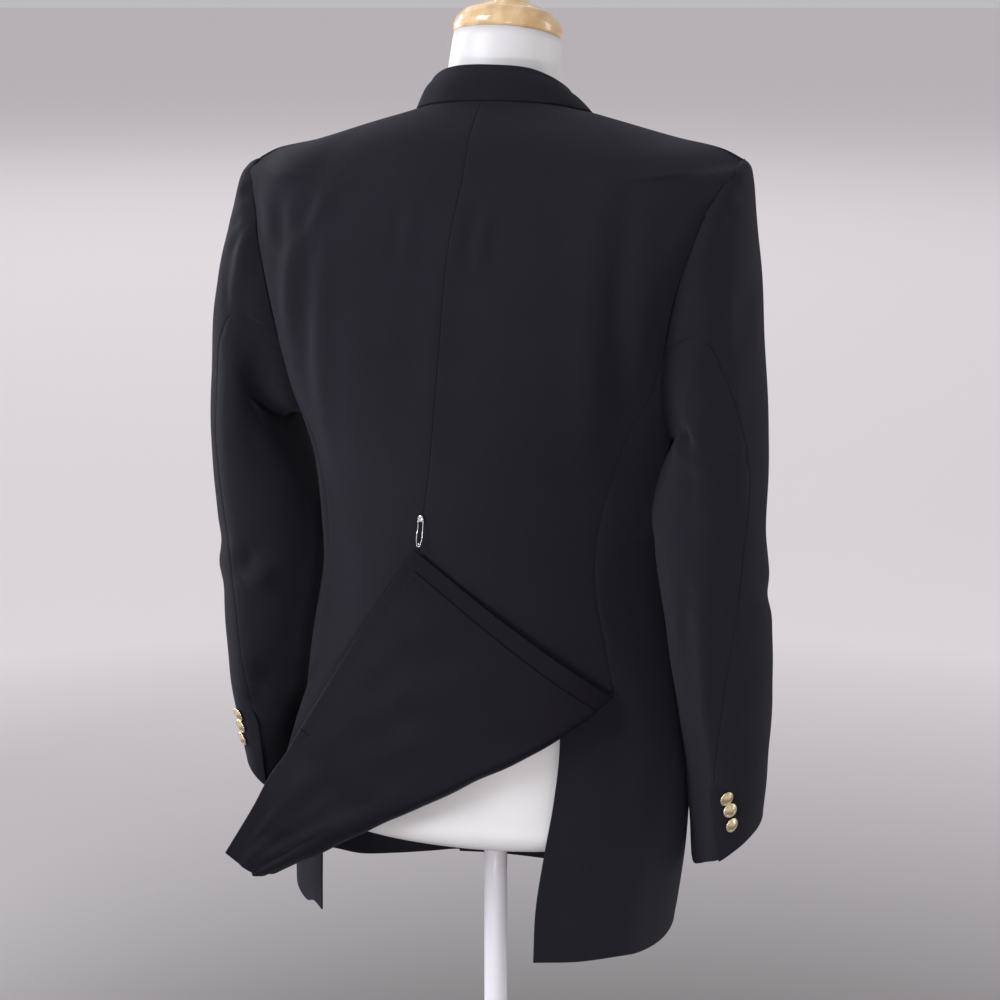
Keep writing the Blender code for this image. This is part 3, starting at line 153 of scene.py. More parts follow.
# ---- fronts ----
OVERLAP_X = 0.088         # front edge past the centre
BREAK_H = 1.118           # where the lapel starts to roll
NECK_EDGE_X = 0.056       # the roll line's upper end
BODY_COLUMNS = 6          # from the side seam to the lapel's edge
LAPEL_COLUMNS = 4         # from there to the front edge
EVEN_SHARE = 0.6
OVERLAP_OUT = CLOTH * 2 + 0.0020
OVERLAP_RAMP = 0.030
OVERLAP_FADE = (1.33, 1.42)
GORGE_STEP = 23           # armhole step whose row carries the gorge seam
GORGE_DIP = (0.0, 0.0035, 0.0070, 0.0035, 0.0)    # from the peak over the notch to the roll
LAPEL_EDGE = (
    # ring height, x
    (1.118, -0.082),
    (1.160, -0.036),
    (1.235, 0.026),
    (1.330, 0.078),
    (1.4316, 0.122),      # peak
)
COLLAR_END_H = 1.4365
COLLAR_NOTCH = (0.082, 1.4335)    # x and ring height of the leaf's corner
COLLAR_GAP = 0.0010
PATCH_GAP = 0.0009
COLLAR_FALL = (0.011, 0.038)      # past the neck seam at the back, at the gorge
COLLAR_STAND = (0.0225, 0.0090)
COLLAR_ROLL = 0.0050
COLLAR_LEAN = 0.004       # how far the stand leans in over the shoulders
COLLAR_STATIONS = 9
COLLAR_BACK_SHARE = 0.75  # share of the half collar that lies behind the roll line's upper end
STAND_LEAN = 0.002        # the stand leans in everywhere by this
ROLL_DIP = 0.001          # the roll's two sides lie this much under it,
KNEE_RISE = 0.0022        # and its top this much over it
LEAF_BELLY = (0.003, 0.001)       # how full the leaf is behind, and over the shoulders
LEAF_FULL = (0.0008, 0.0004)      # and above its belly, and below it

# ---- sleeves ----
SLEEVE_ROWS = (
    # outer x, z    inner x, z    ctr_y  depth  twist pitch
    (0.237, 1.449, 0.187, 1.206, 0.000, 0.080, 0, 0),      # armhole
    (0.243, 1.438, 0.199, 1.203, 0.003, 0.082, 0, 0),      # cap
    (0.249, 1.405, 0.203, 1.196, 0.005, 0.081, -3, 0),
    (0.257, 1.345, 0.201, 1.186, 0.008, 0.077, -8, 0),     # crown
    (0.265, 1.270, 0.196, 1.166, 0.012, 0.072, -12, 1),
    (0.270, 1.190, 0.191, 1.135, 0.016, 0.068, -15, 1),    # biceps
    (0.271, 1.110, 0.188, 1.085, 0.018, 0.065, -17, 3),
    (0.273, 1.035, 0.190, 1.025, 0.015, 0.061, -19, 6),    # elbow
    (0.273, 0.960, 0.194, 0.955, 0.005, 0.058, -20, 9),
    (0.270, 0.885, 0.200, 0.880, -0.010, 0.053, -20, 12),  # forearm
    (0.265, 0.826, 0.205, 0.791, -0.024, 0.050, -20, 14),  # cuff
)
SLEEVE_PLACES = (0.5, 1, 1.7, 2.4, 3.2, 4, 5, 6, 7, 8, 9, 10)
SLEEVE_SET = {"left": (0.005, 0.016, 0.88), "right": (-0.005, -0.017, 1.0)}   # outer, inner, depth
SLEEVE_SET_BY = 3.0       # table row from which a side's own setting holds in full
INNER_KEYS = (0, 2, 3, 4, 5, 6, 7, 8, 9, 10)   # table rows, and a side's own move towards the body
INNER_SHIFT = {"left": (0.0, 0.002, 0.006, 0.012, 0.020, 0.0285, 0.0285, 0.0185, 0.0075, 0.002),
               "right": (0.0, 0.001, 0.003, 0.006, 0.007, 0.004, -0.001, -0.0058, -0.0075, -0.0058)}
OUTER_KEYS = (0, 2, 4, 6, 8, 10)               # table rows, and a side's own move of the outer edge
OUTER_SHIFT = {"left": (0.0, 0.005, 0.008, 0.002, -0.003, 0.0),
               "right": (0.0, -0.001, -0.001, 0.001, 0.005, 0.001)}
HINDARM_KEYS = (0, 2, 4, 5, 6, 7, 8, 9, 10)    # table rows, and the step that the seam lies at there
HINDARM_PLACE = {"left": (7.0, 6.0, 5.0, 4.8, 5.0, 5.6, 6.4, 7.4, 7.9),
                 "right": (7.0, 6.0, 4.3, 3.5, 4.2, 5.4, 6.8, 7.8, 6.9)}
HEM_STEPS = (0, 4, 7, 9, 11, 13, 24)           # steps round a cuff, and how far its hem drops there
HEM_DROPS = (0.0, 0.0, 0.004, 0.004, 0.009, 0.0, 0.0)
SLEEVE_LIFT = {"left": 0.020, "right": 0.0}    # how much higher a cuff hangs
SLEEVE_BLEND = 3.0        # table rows over which the armhole's own shape fades

# ---- small parts ----
BUTTON_PLACES = ((0.060, 1.085), (0.060, 0.985), (0.060, 0.885))   # x and ring height
BUTTON_RADIUS = 0.0100
CUFF_BUTTON_RADIUS = 0.0070
FLAP_POCKET = (1, 4, 0.905, 0.953)    # columns of the front, ring heights
WELT_POCKET = (3, 5, 1.282, 1.304)
PIN_TOP_H = 1.1335
PIN_RISE = 0.0010
PIN_LENGTH = 0.029
PIN_WIDTH = 0.0046
PIN_WIRE = 0.0009
PIN_CLASP = (0.0066, 0.0026, 0.0062)          # width, depth, height

# ---- dress form ----
FORM_CLEAR = 0.011        # between the coat's outside and the form
FORM_BOTTOM_H = 0.815
FORM_HEIGHTS = (0.823, 0.86, 0.92, 0.98, 1.04, 1.10, 1.16, 1.22, 1.27, 1.32, 1.36, 1.39,
                1.415, 1.435, 1.455, 1.475)
NECK_TABLE = (
    # z     centre_y half_width half_depth tilt
    (1.480, -0.018, 0.0600, 0.0440, 8),
    (1.505, -0.023, 0.0540, 0.0450, 8),
    (1.530, -0.028, 0.0525, 0.0490, 10),
    (1.555, -0.036, 0.0505, 0.0500, 15),
)
CAP_PROFILE = (
    # radius, height above the neck's top
    (0.0470, 0.0003), (0.0505, 0.0020), (0.0515, 0.0080), (0.0500, 0.0140), (0.0450, 0.0205),
    (0.0330, 0.0275), (0.0210, 0.0310), (0.0180, 0.0350), (0.0170, 0.0450), (0.0190, 0.0500),
    (0.0215, 0.0560), (0.0205, 0.0630), (0.0140, 0.0690), (0.0040, 0.0710),
)
CAP_TILT = 15.0
POLE_RADIUS = 0.0115
BASE_PROFILE = ((0.150, 0.0), (0.152, 0.003), (0.152, 0.010), (0.149, 0.014), (0.060, 0.019),
                (0.024, 0.022), (0.022, 0.030))

SIGN = {"left": 1, "right": -1}
SIDES = ("left", "right")
UPWARD = np.array([0, 0, 1.0])

# ---- looks: meshes ----
STEP = 0.0030     # between a fine grid's points
FRONT_STEP = STEP * 1.25  # the fronts are plain, and take a wider grid
PATCH_STEP = STEP / 2
COLLAR_STEP = STEP * 0.6
EDGE_PLACES = (0.0, 0.0004, 0.0012, 0.0026)     # extra rows beside an edge, so that it is round
EDGE_ROUND = 0.80         # how round a wall's edges are, from 0 to 1
TURN_PLACES = 26          # rows through the turn of the flap
VENT_SHARP = (1.0, 0.8, 0.4, 0.1)     # how sharply the first columns turn at the vents' tops,
TIP_SHARP = (1.0, 0.6, 0.2)           # and at the shoulders' tips
VENT_CLOSES = 0.010       # above a vent's top the side-back seam is wholly sewn from here
NORMAL_STEP = 0.0008      # between the points that a surface's normal is read from
TINY = 1e-6

# ---- looks: seams and edges ----
SEAM_DIP = 0.0004         # how far the cloth dips beside a seam,
SEAM_REACH = 0.0032       # and how far from it
CENTRE_DIP = 0.00022      # the centre back seam is pressed open and hardly shows
SEAM_TUCK = 0.0024        # the inner edge's reach past a seam
SLIT_LENGTH = 0.090       # cuff opening,
SLIT_FADE = 0.02          # and the length over which it closes at its top
SLIT_REACH = 0.012        # how far from the slit its lap lifts
SLIT_LIFT = 0.0022        # how far the lap stands off,
SLIT_LAP = 0.0050         # and reaches over the under sleeve
SLIT_SINK = 0.0035        # the under sleeve's edge dips under the lap
POCKET_CORNER = 0.012     # radius of a pocket flap's lower corners

# ---- looks: fullness of the cloth ----
# gentle unevenness: the length and the height of its waves, and the seed of their directions
WAVES = 8
BODY_WAVES = (0.11, 0.0008, 3)
FRONT_WAVES = (0.12, 0.0008, 3)
SLEEVE_WAVES = (0.08, 0.0007, 17)
COLLAR_WAVES = (0.05, 0.0004, 11)
FLAP_WAVES = (0.062, 0.0009, 5)
FLAP_RIPPLES = (0.022, 0.0009 * 0.32, 6)
LINING_WAVES = (0.034, 0.0007, 8)
BODY_CALM = 0.02          # from a seam, the cloth's unevenness grows over this,
SLEEVE_CALM = 0.03
COLLAR_CALM = 0.01
FLAP_CALM = (0.08, 0.03)  # and from the flap's hem and its fold
LINING_CALM = 0.025
LINING_FULL = 0.0010      # how much fuller the lining is than the wool under it
LINING_PUCKER = 0.00016   # small puckers along the lining's sewn edges,
PUCKER_LENGTHS = (0.011, 0.013)       # their lengths up and across
PUCKER_REACH = 0.006
LAPEL_ROLL = 0.0016       # how full the lapel's fold is,
LAPEL_ROLL_REACH = 0.016  # how far from it,
LAPEL_ROLL_FADE = 0.7     # and what share of that is gone at the gorge
LAPEL_BELLY = 0.0006
PATCH_BELLY = 0.0005
SLEEVE_ROLL = 0.0010      # how full the sleeve's head is,
HEAD_PLACE = (0.014, 0.012)       # how far below the armhole seam, and its reach
EASE_PUCKER = 0.00045     # small puckers beside the armhole seam, from the ease in the head
EASE_LENGTH = 0.013
EASE_WANDER = (2, 37)     # how much and how soon they wander

# ---- looks: the collar's leaf ----
LEAF_LIFT = 0.0001        # the leaf lies on the coat
LEAF_LOW_H = 1.40         # it rests on cloth above this height,
LEAF_SETTLES = 0.018      # and settles on it from this far from its edge
LEAF_SMOOTH = 12          # passes that smooth the settling along the edge
LEAF_BACK_Y = 0.0         # it settles behind and over the shoulders, not on the fronts:
LEAF_BACK_REACH = 0.052   # within this of that place
LEAF_PRESS = -0.0004      # the edge presses a little into the cloth's nap

# ---- looks: buttons, buttonholes and the pin ----
BUTTON_SIDES = 144
BUTTON_PROFILE = (
    # share of the radius, height
    (0.90, 0.0), (1.0, 0.0006), (1.0, 0.0013), (0.93, 0.0018), (0.84, 0.0016), (0.78, 0.0019),
    (0.72, 0.0021), (0.69, 0.0019), (0.45, 0.0028), (0.20, 0.0033),
)
BUTTON_ENDS = ((0.0002, -0.0002), (0.0002, 0.0034))       # radius, height
BUTTON_ROUND = 0.0003
RIM_ROPE = 0.00012        # depth of the rim's rope,
ROPE_TURNS = 36           # its ridges,
ROPE_PLACE = (0.97, 0.06) # and where it lies, in shares of the radius
SHANK = 0.0008            # thread under a button
CUFF_TURN = {"left": ((0.0, 0.10), (0.0, 0.06), (0.0, 0.12)),      # how far each button
             "right": ((0.72, -0.04), (0.55, -0.10), (0.80, 0.02))}    # turns aside and hangs
LEANING = 0.45            # how far a leaning button stands off, as a share of its radius
CUFF_FULL = 1.04          # the cuff buttons stand a little proud of their solids
HOLE_PAST = 0.006         # a buttonhole's middle past its button
HOLE_LENGTH = 0.024
HOLE_HALF_WIDTH = 0.0011
HOLE_THREAD = 0.00042
HOLE_LIFT = 0.0004
HOLE_RIPPLE = (0.00014, 40)       # its stitches' height and their number
PIN_LEAN = 0.13           # how far the pin's lower end stands off
PIN_DIP = 0.0012          # how far the pin's thin arm dips towards the cloth
PIN_COIL = 0.0013         # radius of the coil,
PIN_COIL_RISE = 0.0012    # and how far apart its two ends lie
PIN_ARM_START = 0.002     # the arms start this far inside the clasp
PIN_BOW = 0.0005          # how far the thick arm bows out
CLASP_SIZE = (0.0046, 0.0022)     # width, depth
CLASP_RINGS = (
    # place along the clasp, share of its width
    (-0.0004, 0.10), (-0.0002, 0.62), (0.0003, 0.86), (0.0012, 0.98), (0.0030, 1.0),
    (0.0048, 0.86), (0.0058, 0.62), (0.0060, 0.50),
)

# ---- looks: the dress form ----
FORM_TURNS = 128
FORM_ROWS = 120
FORM_TUCK = 0.008         # the form's lower edge is drawn in by this,
FORM_BOTTOM_SHARE = 0.97  # and its bottom to this share
WOOD_ROUND = 0.0016       # rounding of the turned cap, and of the painted base
PAINT_ROUND = 0.0015
CAP_SIDES = 128
BASE_SIDES = 160
AXIS = 0.0005             # radius at which a turned piece is closed

# ---- looks: creases ----
# a crease runs between two places on one face of the coat: x or y, then z; in millimetres
CREASE_SCALE = 1.45
BODY_CREASES = (
    # face, start, end, bend, width, height
    ("back", 144, 1385, 152, 1190, 0, 12, -2.8),
    ("back", 129, 1400, 138, 1170, 0, 11, 1.6),
    ("back", 160, 1375, 168, 1290, 0, 12, 2.2),
    ("back", 128, 1425, 158, 1360, 0, 9, 1.5),
    ("back", 146, 1422, 156, 1385, 0, 7, -1.2),
    ("back", 186, 1410, 176, 1370, 0, 8, -1.5),
    ("back", -150, 1430, -142, 1170, 0, 12, -3),
    ("back", -166, 1400, -163, 1215, 0, 10, 2),
    ("back", -128, 1380, -126, 1160, 0, 16, 1),
    ("back", 1, 1410, 20, 1190, 4, 12, 0.9),
    ("back", -15, 1405, -12, 1370, 0, 6, -0.7),
    ("back", -29, 1400, -25, 1355, 0, 7, 0.8),
    ("back", -38, 1405, -34, 1380, 0, 6, -0.7),
    ("back", 46, 1410, 44, 1360, 0, 7, 0.7),
    ("back", 55, 1410, 54, 1360, 0, 6, -0.6),
    ("left", 30, 1120, 50, 980, 6, 14, -1.6),
    ("left", 4, 1140, 10, 1010, -4, 12, 1.2),
    ("left", -50, 1100, -30, 860, 6, 16, -1.4),
    ("right", 34, 1115, 44, 990, 5, 13, -1.4),
    ("right", 30, 1228, 30, 1105, 0, 36, 7),
    ("right", -6, 1130, 0, 930, -5, 14, 1.3),
    ("right", -46, 1090, -40, 850, 4, 16, -1.2),
)
FRONT_CREASES = (
    ("front", 110, 1120, 20, 1090, 6, 12, -1.2),
    ("front", 118, 1105, 30, 1070, 5, 11, 1),
    ("front", -120, 1118, -75, 1090, 4, 12, -1.1),
    ("front", 150, 1330, 160, 1210, 5, 12, -2.2),
    ("front", 140, 1320, 146, 1200, 4, 12, 1.2),
    ("front", -152, 1335, -160, 1200, -5, 12, -2.4),
    ("front", -140, 1315, -148, 1190, -4, 12, 1.3),
    ("front", 70, 850, 80, 730, 4, 18, 1),
    ("front", -90, 860, -96, 730, -4, 18, -1.2),
)
SLEEVE_CREASES = {
    "left": (
        ("back", 226, 1420, 240, 1400, 0, 5, -1.6),
        ("back", 224, 1405, 243, 1378, 0, 5, -1.6),
        ("back", 222, 1392, 240, 1360, 0, 5, -1.6),
        ("back", 222, 1378, 239, 1315, 0, 8, 2.2),
        ("back", 236, 1360, 247, 1290, 0, 8, -1.8),
        ("back", 214, 1262, 208, 1148, 9, 12, -3),
        ("back", 236, 1055, 218, 1069, 0, 10, -4),
        ("back", 232, 1040, 206, 1058, 0, 12, 4),
        ("back", 234, 927, 214, 960, 0, 12, -4),
        ("back", 246, 907, 225, 921, 0, 10, -3),
        ("left", 50, 1080, -10, 1050, 4, 12, -2),
        ("left", 45, 1060, -20, 1030, 4, 12, 1.8),
        ("front", 262, 1080, 222, 1050, 3, 10, -3),
        ("front", 258, 1110, 220, 1085, 3, 12, 2.6),
        ("front", 262, 990, 224, 970, 3, 11, -2.4),
    ),
    "right": (
        ("back", -225, 1430, -235, 1395, 0, 6, -2),
        ("back", -232, 1440, -243, 1414, 0, 6, -2),
        ("back", -238, 1350, -239, 1279, -6, 10, -2),
        ("back", -196, 1222, -204, 1200, 0, 7, -5),
        ("back", -204, 1195, -250, 1170, 0, 8, 2),
        ("back", -242, 1190, -257, 1192, 0, 6, -1.5),
        ("back", -235, 1400, -262, 1100, 4, 6, 1.5),
        ("back", -240, 1046, -212, 1062, 3, 10, -1.6),
        ("right", 50, 1075, -10, 1050, 4, 12, -1.8),
        ("left", 10, 1212, 24, 1105, 0, 34, 6.6),
        ("back", -221, 1070, -226, 890, 3, 9, 2),
        ("back", -206, 1080, -211, 930, 3, 10, -1.8),
        ("front", -256, 1060, -200, 1035, 3, 10, -3.2),
        ("front", -254, 1095, -200, 1070, 3, 12, 2.6),
        ("front", -252, 970, -205, 955, 3, 11, -2.4),
    ),
}

# ---- looks: colours, light and camera ----
WOOL_COLOUR = (0.0112, 0.0104, 0.0156)
WOOL_SHEEN = 0.07
WOOL_SHEEN_TINT = (0.62, 0.63, 0.78, 1)
LINING_COLOUR = (0.0042, 0.0034, 0.0078)
LINT_COLOUR = (0.20, 0.20, 0.21, 1)
RIB_ANGLE = 63.0
MAPLE_DARK = (0.60, 0.38, 0.16, 1)
MAPLE_LIGHT = (0.80, 0.58, 0.32, 1)
FLOOR_SHADE_NEAR = 1.2          # metres round the stand with the painted shade, and where it ends
FLOOR_SHADE_FAR = 3.4
# painted shade: the floor's darker colour round the stand
FLOOR_PAINTED_SHADE = (0.205, 0.196, 0.196, 1)
FLOOR_LIGHT = (0.90, 0.865, 0.88, 1)
FLOOR_RADIUS = 400.0
FLOOR_SIDES = 96
FLOOR_DROP = 0.0005       # the floor lies this far under the stand
ROOM_COLOUR = (0.95, 0.93, 0.96)
ROOM_STRENGTH = 0.54
LIGHTS = (
    # name, place, aim, size, power, colour
    ("key", (1.9, 2.3, 2.6), (0.0, 0.0, 1.15), (1.4, 1.4), 78.0, (0.90, 0.92, 1.0)),
    ("fill", (-2.4, 1.6, 2.0), (0.0, 0.0, 1.15), (1.2, 1.8), 2.0, (1.0, 0.98, 0.95)),
    ("left_rim", (1.9, -0.7, 1.5), (0.0, 0.0, 1.1), (0.5, 1.6), 24.0, (0.95, 0.96, 1.0)),
    ("right_rim", (-1.9, -0.6, 1.5), (0.0, 0.0, 1.1), (0.5, 1.6), 9.0, (1.0, 0.98, 0.97)),
    ("pole_low", (-0.5, 2.3, 0.45), (0.0, 0.0, 0.42), (0.3, 0.3), 14.0, (1.0, 0.97, 1.0)),
    ("floor_far", (6.0, -10.0, 10.0), (6.0, -10.01, 0.0), (14.0, 14.0), 520.0, (1.0, 0.98, 0.98)),
)
CAMERA_TURN = 18.36       # degrees
CAMERA_PITCH = 12.94
CAMERA_PLACE = (-0.6449, 1.9296, 1.5909)
CAMERA_LENS = 78.55

# ---- looks: the dress form's object name ----
FORM = "form_white_torso"


# ---- the coat's outside, as the solids have it ----
def spline(keys, values, at):
    """Cubic through values at keys, along their first axis, with slopes from the neighbours."""
    keys = np.asarray(keys, float)
    values = np.asarray(values, float)
    slopes = np.gradient(values, keys, axis=0)
    cell = np.clip(np.searchsorted(keys, at, side="right") - 1, 0, len(keys) - 2)
    shape = (-1,) + (1,) * (values.ndim - 1)
    width = (keys[cell + 1] - keys[cell]).reshape(shape)
    t = (at - keys[cell]).reshape(shape) / width
    t2 = t * t
    t3 = t2 * t
    start = (2 * t3 - 3 * t2 + 1) * values[cell] + (t3 - 2 * t2 + t) * width * slopes[cell]
    return start + ((3 * t2 - 2 * t3) * values[cell + 1] + (t3 - t2) * width * slopes[cell + 1])


def smooth_column(keys, values, at):
    """A table's column read at one place or at many."""
    at = np.asarray(at, float)
    return spline(keys, values, at.ravel()).reshape(at.shape)


def ring_value(column, height):
    table = np.array(RINGS)
    return smooth_column(table[:, 0], table[:, RING_COLUMNS.index(column)], height)


def smoothstep(low, high, value):
    t = np.clip((np.asarray(value, float) - low) / (high - low), 0, 1)
    return t * t * (3 - 2 * t)


def unit(vectors):
    length = np.linalg.norm(vectors, axis=-1, keepdims=True)
    return vectors / np.maximum(length, 1e-12)


def between(ends, share):
    """The first of two values at share 0, the second at share 1."""
    return ends[0] + (ends[1] - ends[0]) * share


def left_drop(x, height):
    return LEFT_DROP * smoothstep(*LEFT_DROP_H, height) * smoothstep(*LEFT_DROP_X, x)


def left_hem_rise(angle, height):
    """The pinned corner draws the left side's hem up a little."""
    start, full, end = (radians(d) for d in LEFT_HEM_SPAN)
    share = smoothstep(start, full, angle) * (1 - smoothstep(full, end, angle))
    return LEFT_HEM_RISE * share * (1 - smoothstep(HEM_H, LEFT_HEM_TOP_H, height))


def right_fill(angle, height):
    """The right side stands out further than the rings' own ovals."""
    side = np.clip(-np.sin(angle), 0, 1)
    power = np.where(np.cos(angle) > 0, *FILL_POWER)
    return ring_value("right_fill", height) * side ** power


def coat_point(angle, height):
    """Point of the coat's outside: angle in radians from the centre back towards the left."""
    angle, height = np.broadcast_arrays(np.asarray(angle, float), np.asarray(height, float))
    half_width = ring_value("half_width", height)
    square = ring_value("square", height)
    behind = np.cos(angle) > 0
    depth = np.where(behind, ring_value("back", height), ring_value("front", height))
    radius = (np.abs(np.sin(angle) / half_width) ** square
              + np.abs(np.cos(angle) / depth) ** square) ** (-1 / square)
    lean = np.abs(radius * np.cos(angle) / depth) ** 1.5
    centre_z = np.where(behind, height, ring_value("front_z", height))
    side_z = ring_value("side_z", height)
    x = ring_value("shift", height) + radius * np.sin(angle) - right_fill(angle, height)
    y = ring_value("centre_y", height) + radius * np.cos(angle)
    z = side_z + (centre_z - side_z) * lean - left_drop(x, height) + left_hem_rise(angle, height)
    return np.stack([x, y, z], axis=-1)


def normal_of(surface, across, height, step):
    """Outward normal of a surface that is read by a place across it and a height."""
    along = surface(across + step, height) - surface(across - step, height)
    up = surface(across, height + step) - surface(across, height - step)
    return unit(np.cross(up, along))


def coat_normal(angle, height):
    return normal_of(coat_point, np.asarray(angle, float), np.asarray(height, float), 1e-4)


def seam_swing(height):
    return radians(SEAM_SWING) * (1 - smoothstep(SWING_END_H, SWING_START_H, height))


def armhole_place(step):
    """Angle and height of an armhole step, 0 at the shoulder tip, then back, under, front."""
    turn = 2 * pi * np.asarray(step, float) / ARMHOLE_STEPS
    middle = (TIP_H + ARMHOLE_BOTTOM_H) / 2
    height = middle + (TIP_H - ARMHOLE_BOTTOM_H) / 2 * np.cos(turn)
    side = np.sin(turn)
    reach = np.where(side > 0, radians(ARMHOLE_BACK), radians(ARMHOLE_FRONT))
    angle = radians(SHOULDER_SEAM) - reach * np.sign(side) * np.abs(side) ** 0.9
    return angle, height


def side_back_angle(height):
    top_angle, top_height = armhole_place(SIDE_BACK_STEP)
    keys = (HEM_H, VENT_H, SIDE_BACK_WAIST[0], float(top_height))
    degrees = (SIDE_BACK_HEM, SIDE_BACK_VENT, SIDE_BACK_WAIST[1])
    values = [radians(d) for d in degrees] + [float(top_angle)]
    return smooth_column(keys, values, height)


def side_front_angle(height):
    top_angle, top_height = armhole_place(SIDE_FRONT_STEP)
    share = (np.asarray(height, float) - HEM_H) / (float(top_height) - HEM_H)
    return radians(SIDE_FRONT_HEM) + (float(top_angle) - radians(SIDE_FRONT_HEM)) * share


def seam_heights(step):
    """Rows from the hem to an armhole step, scaled so that neighbouring panels share them."""
    first = float(armhole_place(SIDE_BACK_STEP)[1])
    skirt = np.linspace(HEM_H, VENT_H - VENT_SLIP, SKIRT_ROWS)
    body = np.linspace(VENT_H, first, BODY_ROWS + 1)
    climb = (np.concatenate([skirt, body]) - HEM_H) / (first - HEM_H)
    return HEM_H + (float(armhole_place(step)[1]) - HEM_H) * climb


def plan_curve(height, steps=180):
    """The ring at one height as points and arc lengths measured from the centre seam."""
    angles = seam_swing(height) + np.linspace(-radians(PLAN_REACH), radians(PLAN_REACH), 2 * steps + 1)
    points = coat_point(angles, np.full_like(angles, height))
    points[:, 2] -= left_hem_rise(angles, height)
    pieces = np.linalg.norm(np.diff(points[:, :2], axis=0), axis=1)
    lengths = np.concatenate([[0], np.cumsum(pieces)])
    return points, lengths - lengths[steps]


def flattened(points, lengths, share):
    """Let the part left of the centre seam run on straight: share 1 takes out all its curve."""
    moves = np.diff(points[:, :2], axis=0)
    heading = np.arctan2(moves[:, 1], moves[:, 0])
    middle = len(lengths) // 2
    heading[middle:] = heading[middle] + (heading[middle:] - heading[middle]) * (1 - share)
    steps = np.diff(lengths)[middle:]
    moved = points.copy()
    moved[middle + 1:, 0] = points[middle, 0] + np.cumsum(steps * np.cos(heading[middle:]))
    moved[middle + 1:, 1] = points[middle, 1] + np.cumsum(steps * np.sin(heading[middle:]))
    return moved


def sheet_table(share_at):
    """Flap surface as a table: a row for each height, read by arc length from the centre seam."""
    heights = np.linspace(HEM_H, NECK_H, 150)
    spans = np.linspace(-SHEET_HALF, SHEET_HALF, 161)
    curves = []
    for height in heights:
        points, lengths = plan_curve(height)
        moved = flattened(points, lengths, share_at(height))
        curves.append(np.stack([np.interp(spans, lengths, moved[:, k]) for k in range(3)], axis=-1))
    return heights, spans, np.array(curves)


def table_point(table, across, height):
    heights, spans, curves = table
    r = (np.asarray(height, float) - heights[0]) / (heights[1] - heights[0])
    c = (np.asarray(across, float) - spans[0]) / (spans[1] - spans[0])
    r0 = np.clip(np.floor(r).astype(int), 0, len(heights) - 2)
    c0 = np.clip(np.floor(c).astype(int), 0, len(spans) - 2)
    fr = (r - r0)[..., None]
    fc = (c - c0)[..., None]
    low = curves[r0, c0] * (1 - fc) + curves[r0, c0 + 1] * fc
    high = curves[r0 + 1, c0] * (1 - fc) + curves[r0 + 1, c0 + 1] * fc
    return low * (1 - fr) + high * fr


def table_normal(table, across, height):
    return normal_of(lambda *place: table_point(table, *place), across, height, 0.002)


def skirt_share(height):
    """How flat the hanging skirt is: none at the vent tops, wholly flat low down."""
    return 1 - smoothstep(VENT_H - FLAT_START * (VENT_H - HEM_H), VENT_H, height)


def cover_share(height):
    """The turned-up layer stays nearly flat all the way to the pin."""
    return np.maximum(skirt_share(height), COVER_FLAT)


SKIRT = sheet_table(skirt_share)
COVER = sheet_table(cover_share)


def span_at(angle, height):
    """Arc length from the centre seam to an angle on one ring."""
    lengths = plan_curve(float(height))[1]
    angles = seam_swing(height) + np.linspace(-radians(PLAN_REACH), radians(PLAN_REACH), len(lengths))
    return float(np.interp(angle, angles, lengths))


def seam_span(side, height):
    """Arc length from the centre seam to a side-back seam, negative on the right."""
    return span_at(float(side_back_angle(height)) * SIGN[side], height)


def calm_edge(step, height, edge):
    """Near the shoulder tip, an edge that runs straight from an armhole step to the neck."""
    low_angle, low_height = armhole_place(step)
    if height <= float(low_height) + TINY:
        return edge
    return float(np.interp(height, (low_height, NECK_H), (low_angle, radians(SHOULDER_SEAM))))


def back_angles(side, edge, height):
    swing = float(seam_swing(height))
    return swing + (SIGN[side] * edge - swing) * np.array(BACK_SHARES)


def fold_ends():
    """Ends of the fold in the flap's flat plane: (across, height)."""
    right_height = VENT_H - FOLD_RIGHT_DROP
    left_height = HEM_H + FOLD_LEFT_RISE
    right = np.array([seam_span("right", right_height), right_height])
    return right, np.array([seam_span("left", left_height), left_height])


FOLD_RIGHT, FOLD_LEFT = fold_ends()
FOLD_LENGTH = float(np.linalg.norm(FOLD_LEFT - FOLD_RIGHT))
FOLD_ALONG = (FOLD_LEFT - FOLD_RIGHT) / FOLD_LENGTH
FOLD_UP = np.array([-FOLD_ALONG[1], FOLD_ALONG[0]])
CORNER_REACH = float(-(np.array([0.0, HEM_H - VENT_H]) @ FOLD_UP))   # corner to the fold line


def folded(across, height):
    """Place flat flap points in space; below the fold line they turn up over the back."""
    rel = np.stack([across - FOLD_RIGHT[0], height - FOLD_RIGHT[1]], axis=-1)
    along = rel @ FOLD_ALONG
    above = rel @ FOLD_UP
    share = np.clip(along / FOLD_LENGTH, 0, 1)
    radius = between(FOLD_RADIUS, np.sqrt(share))
    below = np.maximum(-above, 0)
    turn = np.clip(below / radius, 0, pi)
    beyond = np.maximum(below - pi * radius, 0)
    place = np.where(above >= 0, above, beyond - radius * np.sin(turn))
    settle = smoothstep(FLAP_BLEND, 0.95 * CORNER_REACH, beyond)
    off = radius * (1 - np.cos(turn))
    out = np.where(above >= 0, 0, off + (PINNED_OUT - off) * settle)
    flat_across = FOLD_RIGHT[0] + along * FOLD_ALONG[0] + place * FOLD_UP[0]
    flat_height = FOLD_RIGHT[1] + along * FOLD_ALONG[1] + place * FOLD_UP[1]
    mix = smoothstep(0, FLAP_BLEND, below)[..., None]
    base = table_point(SKIRT, flat_across, flat_height)
    cover = table_point(COVER, flat_across, flat_height)
    normal = unit(table_normal(SKIRT, flat_across, flat_height) * (1 - mix)
                  + table_normal(COVER, flat_across, flat_height) * mix)
    return base * (1 - mix) + cover * mix + normal * out[..., None]


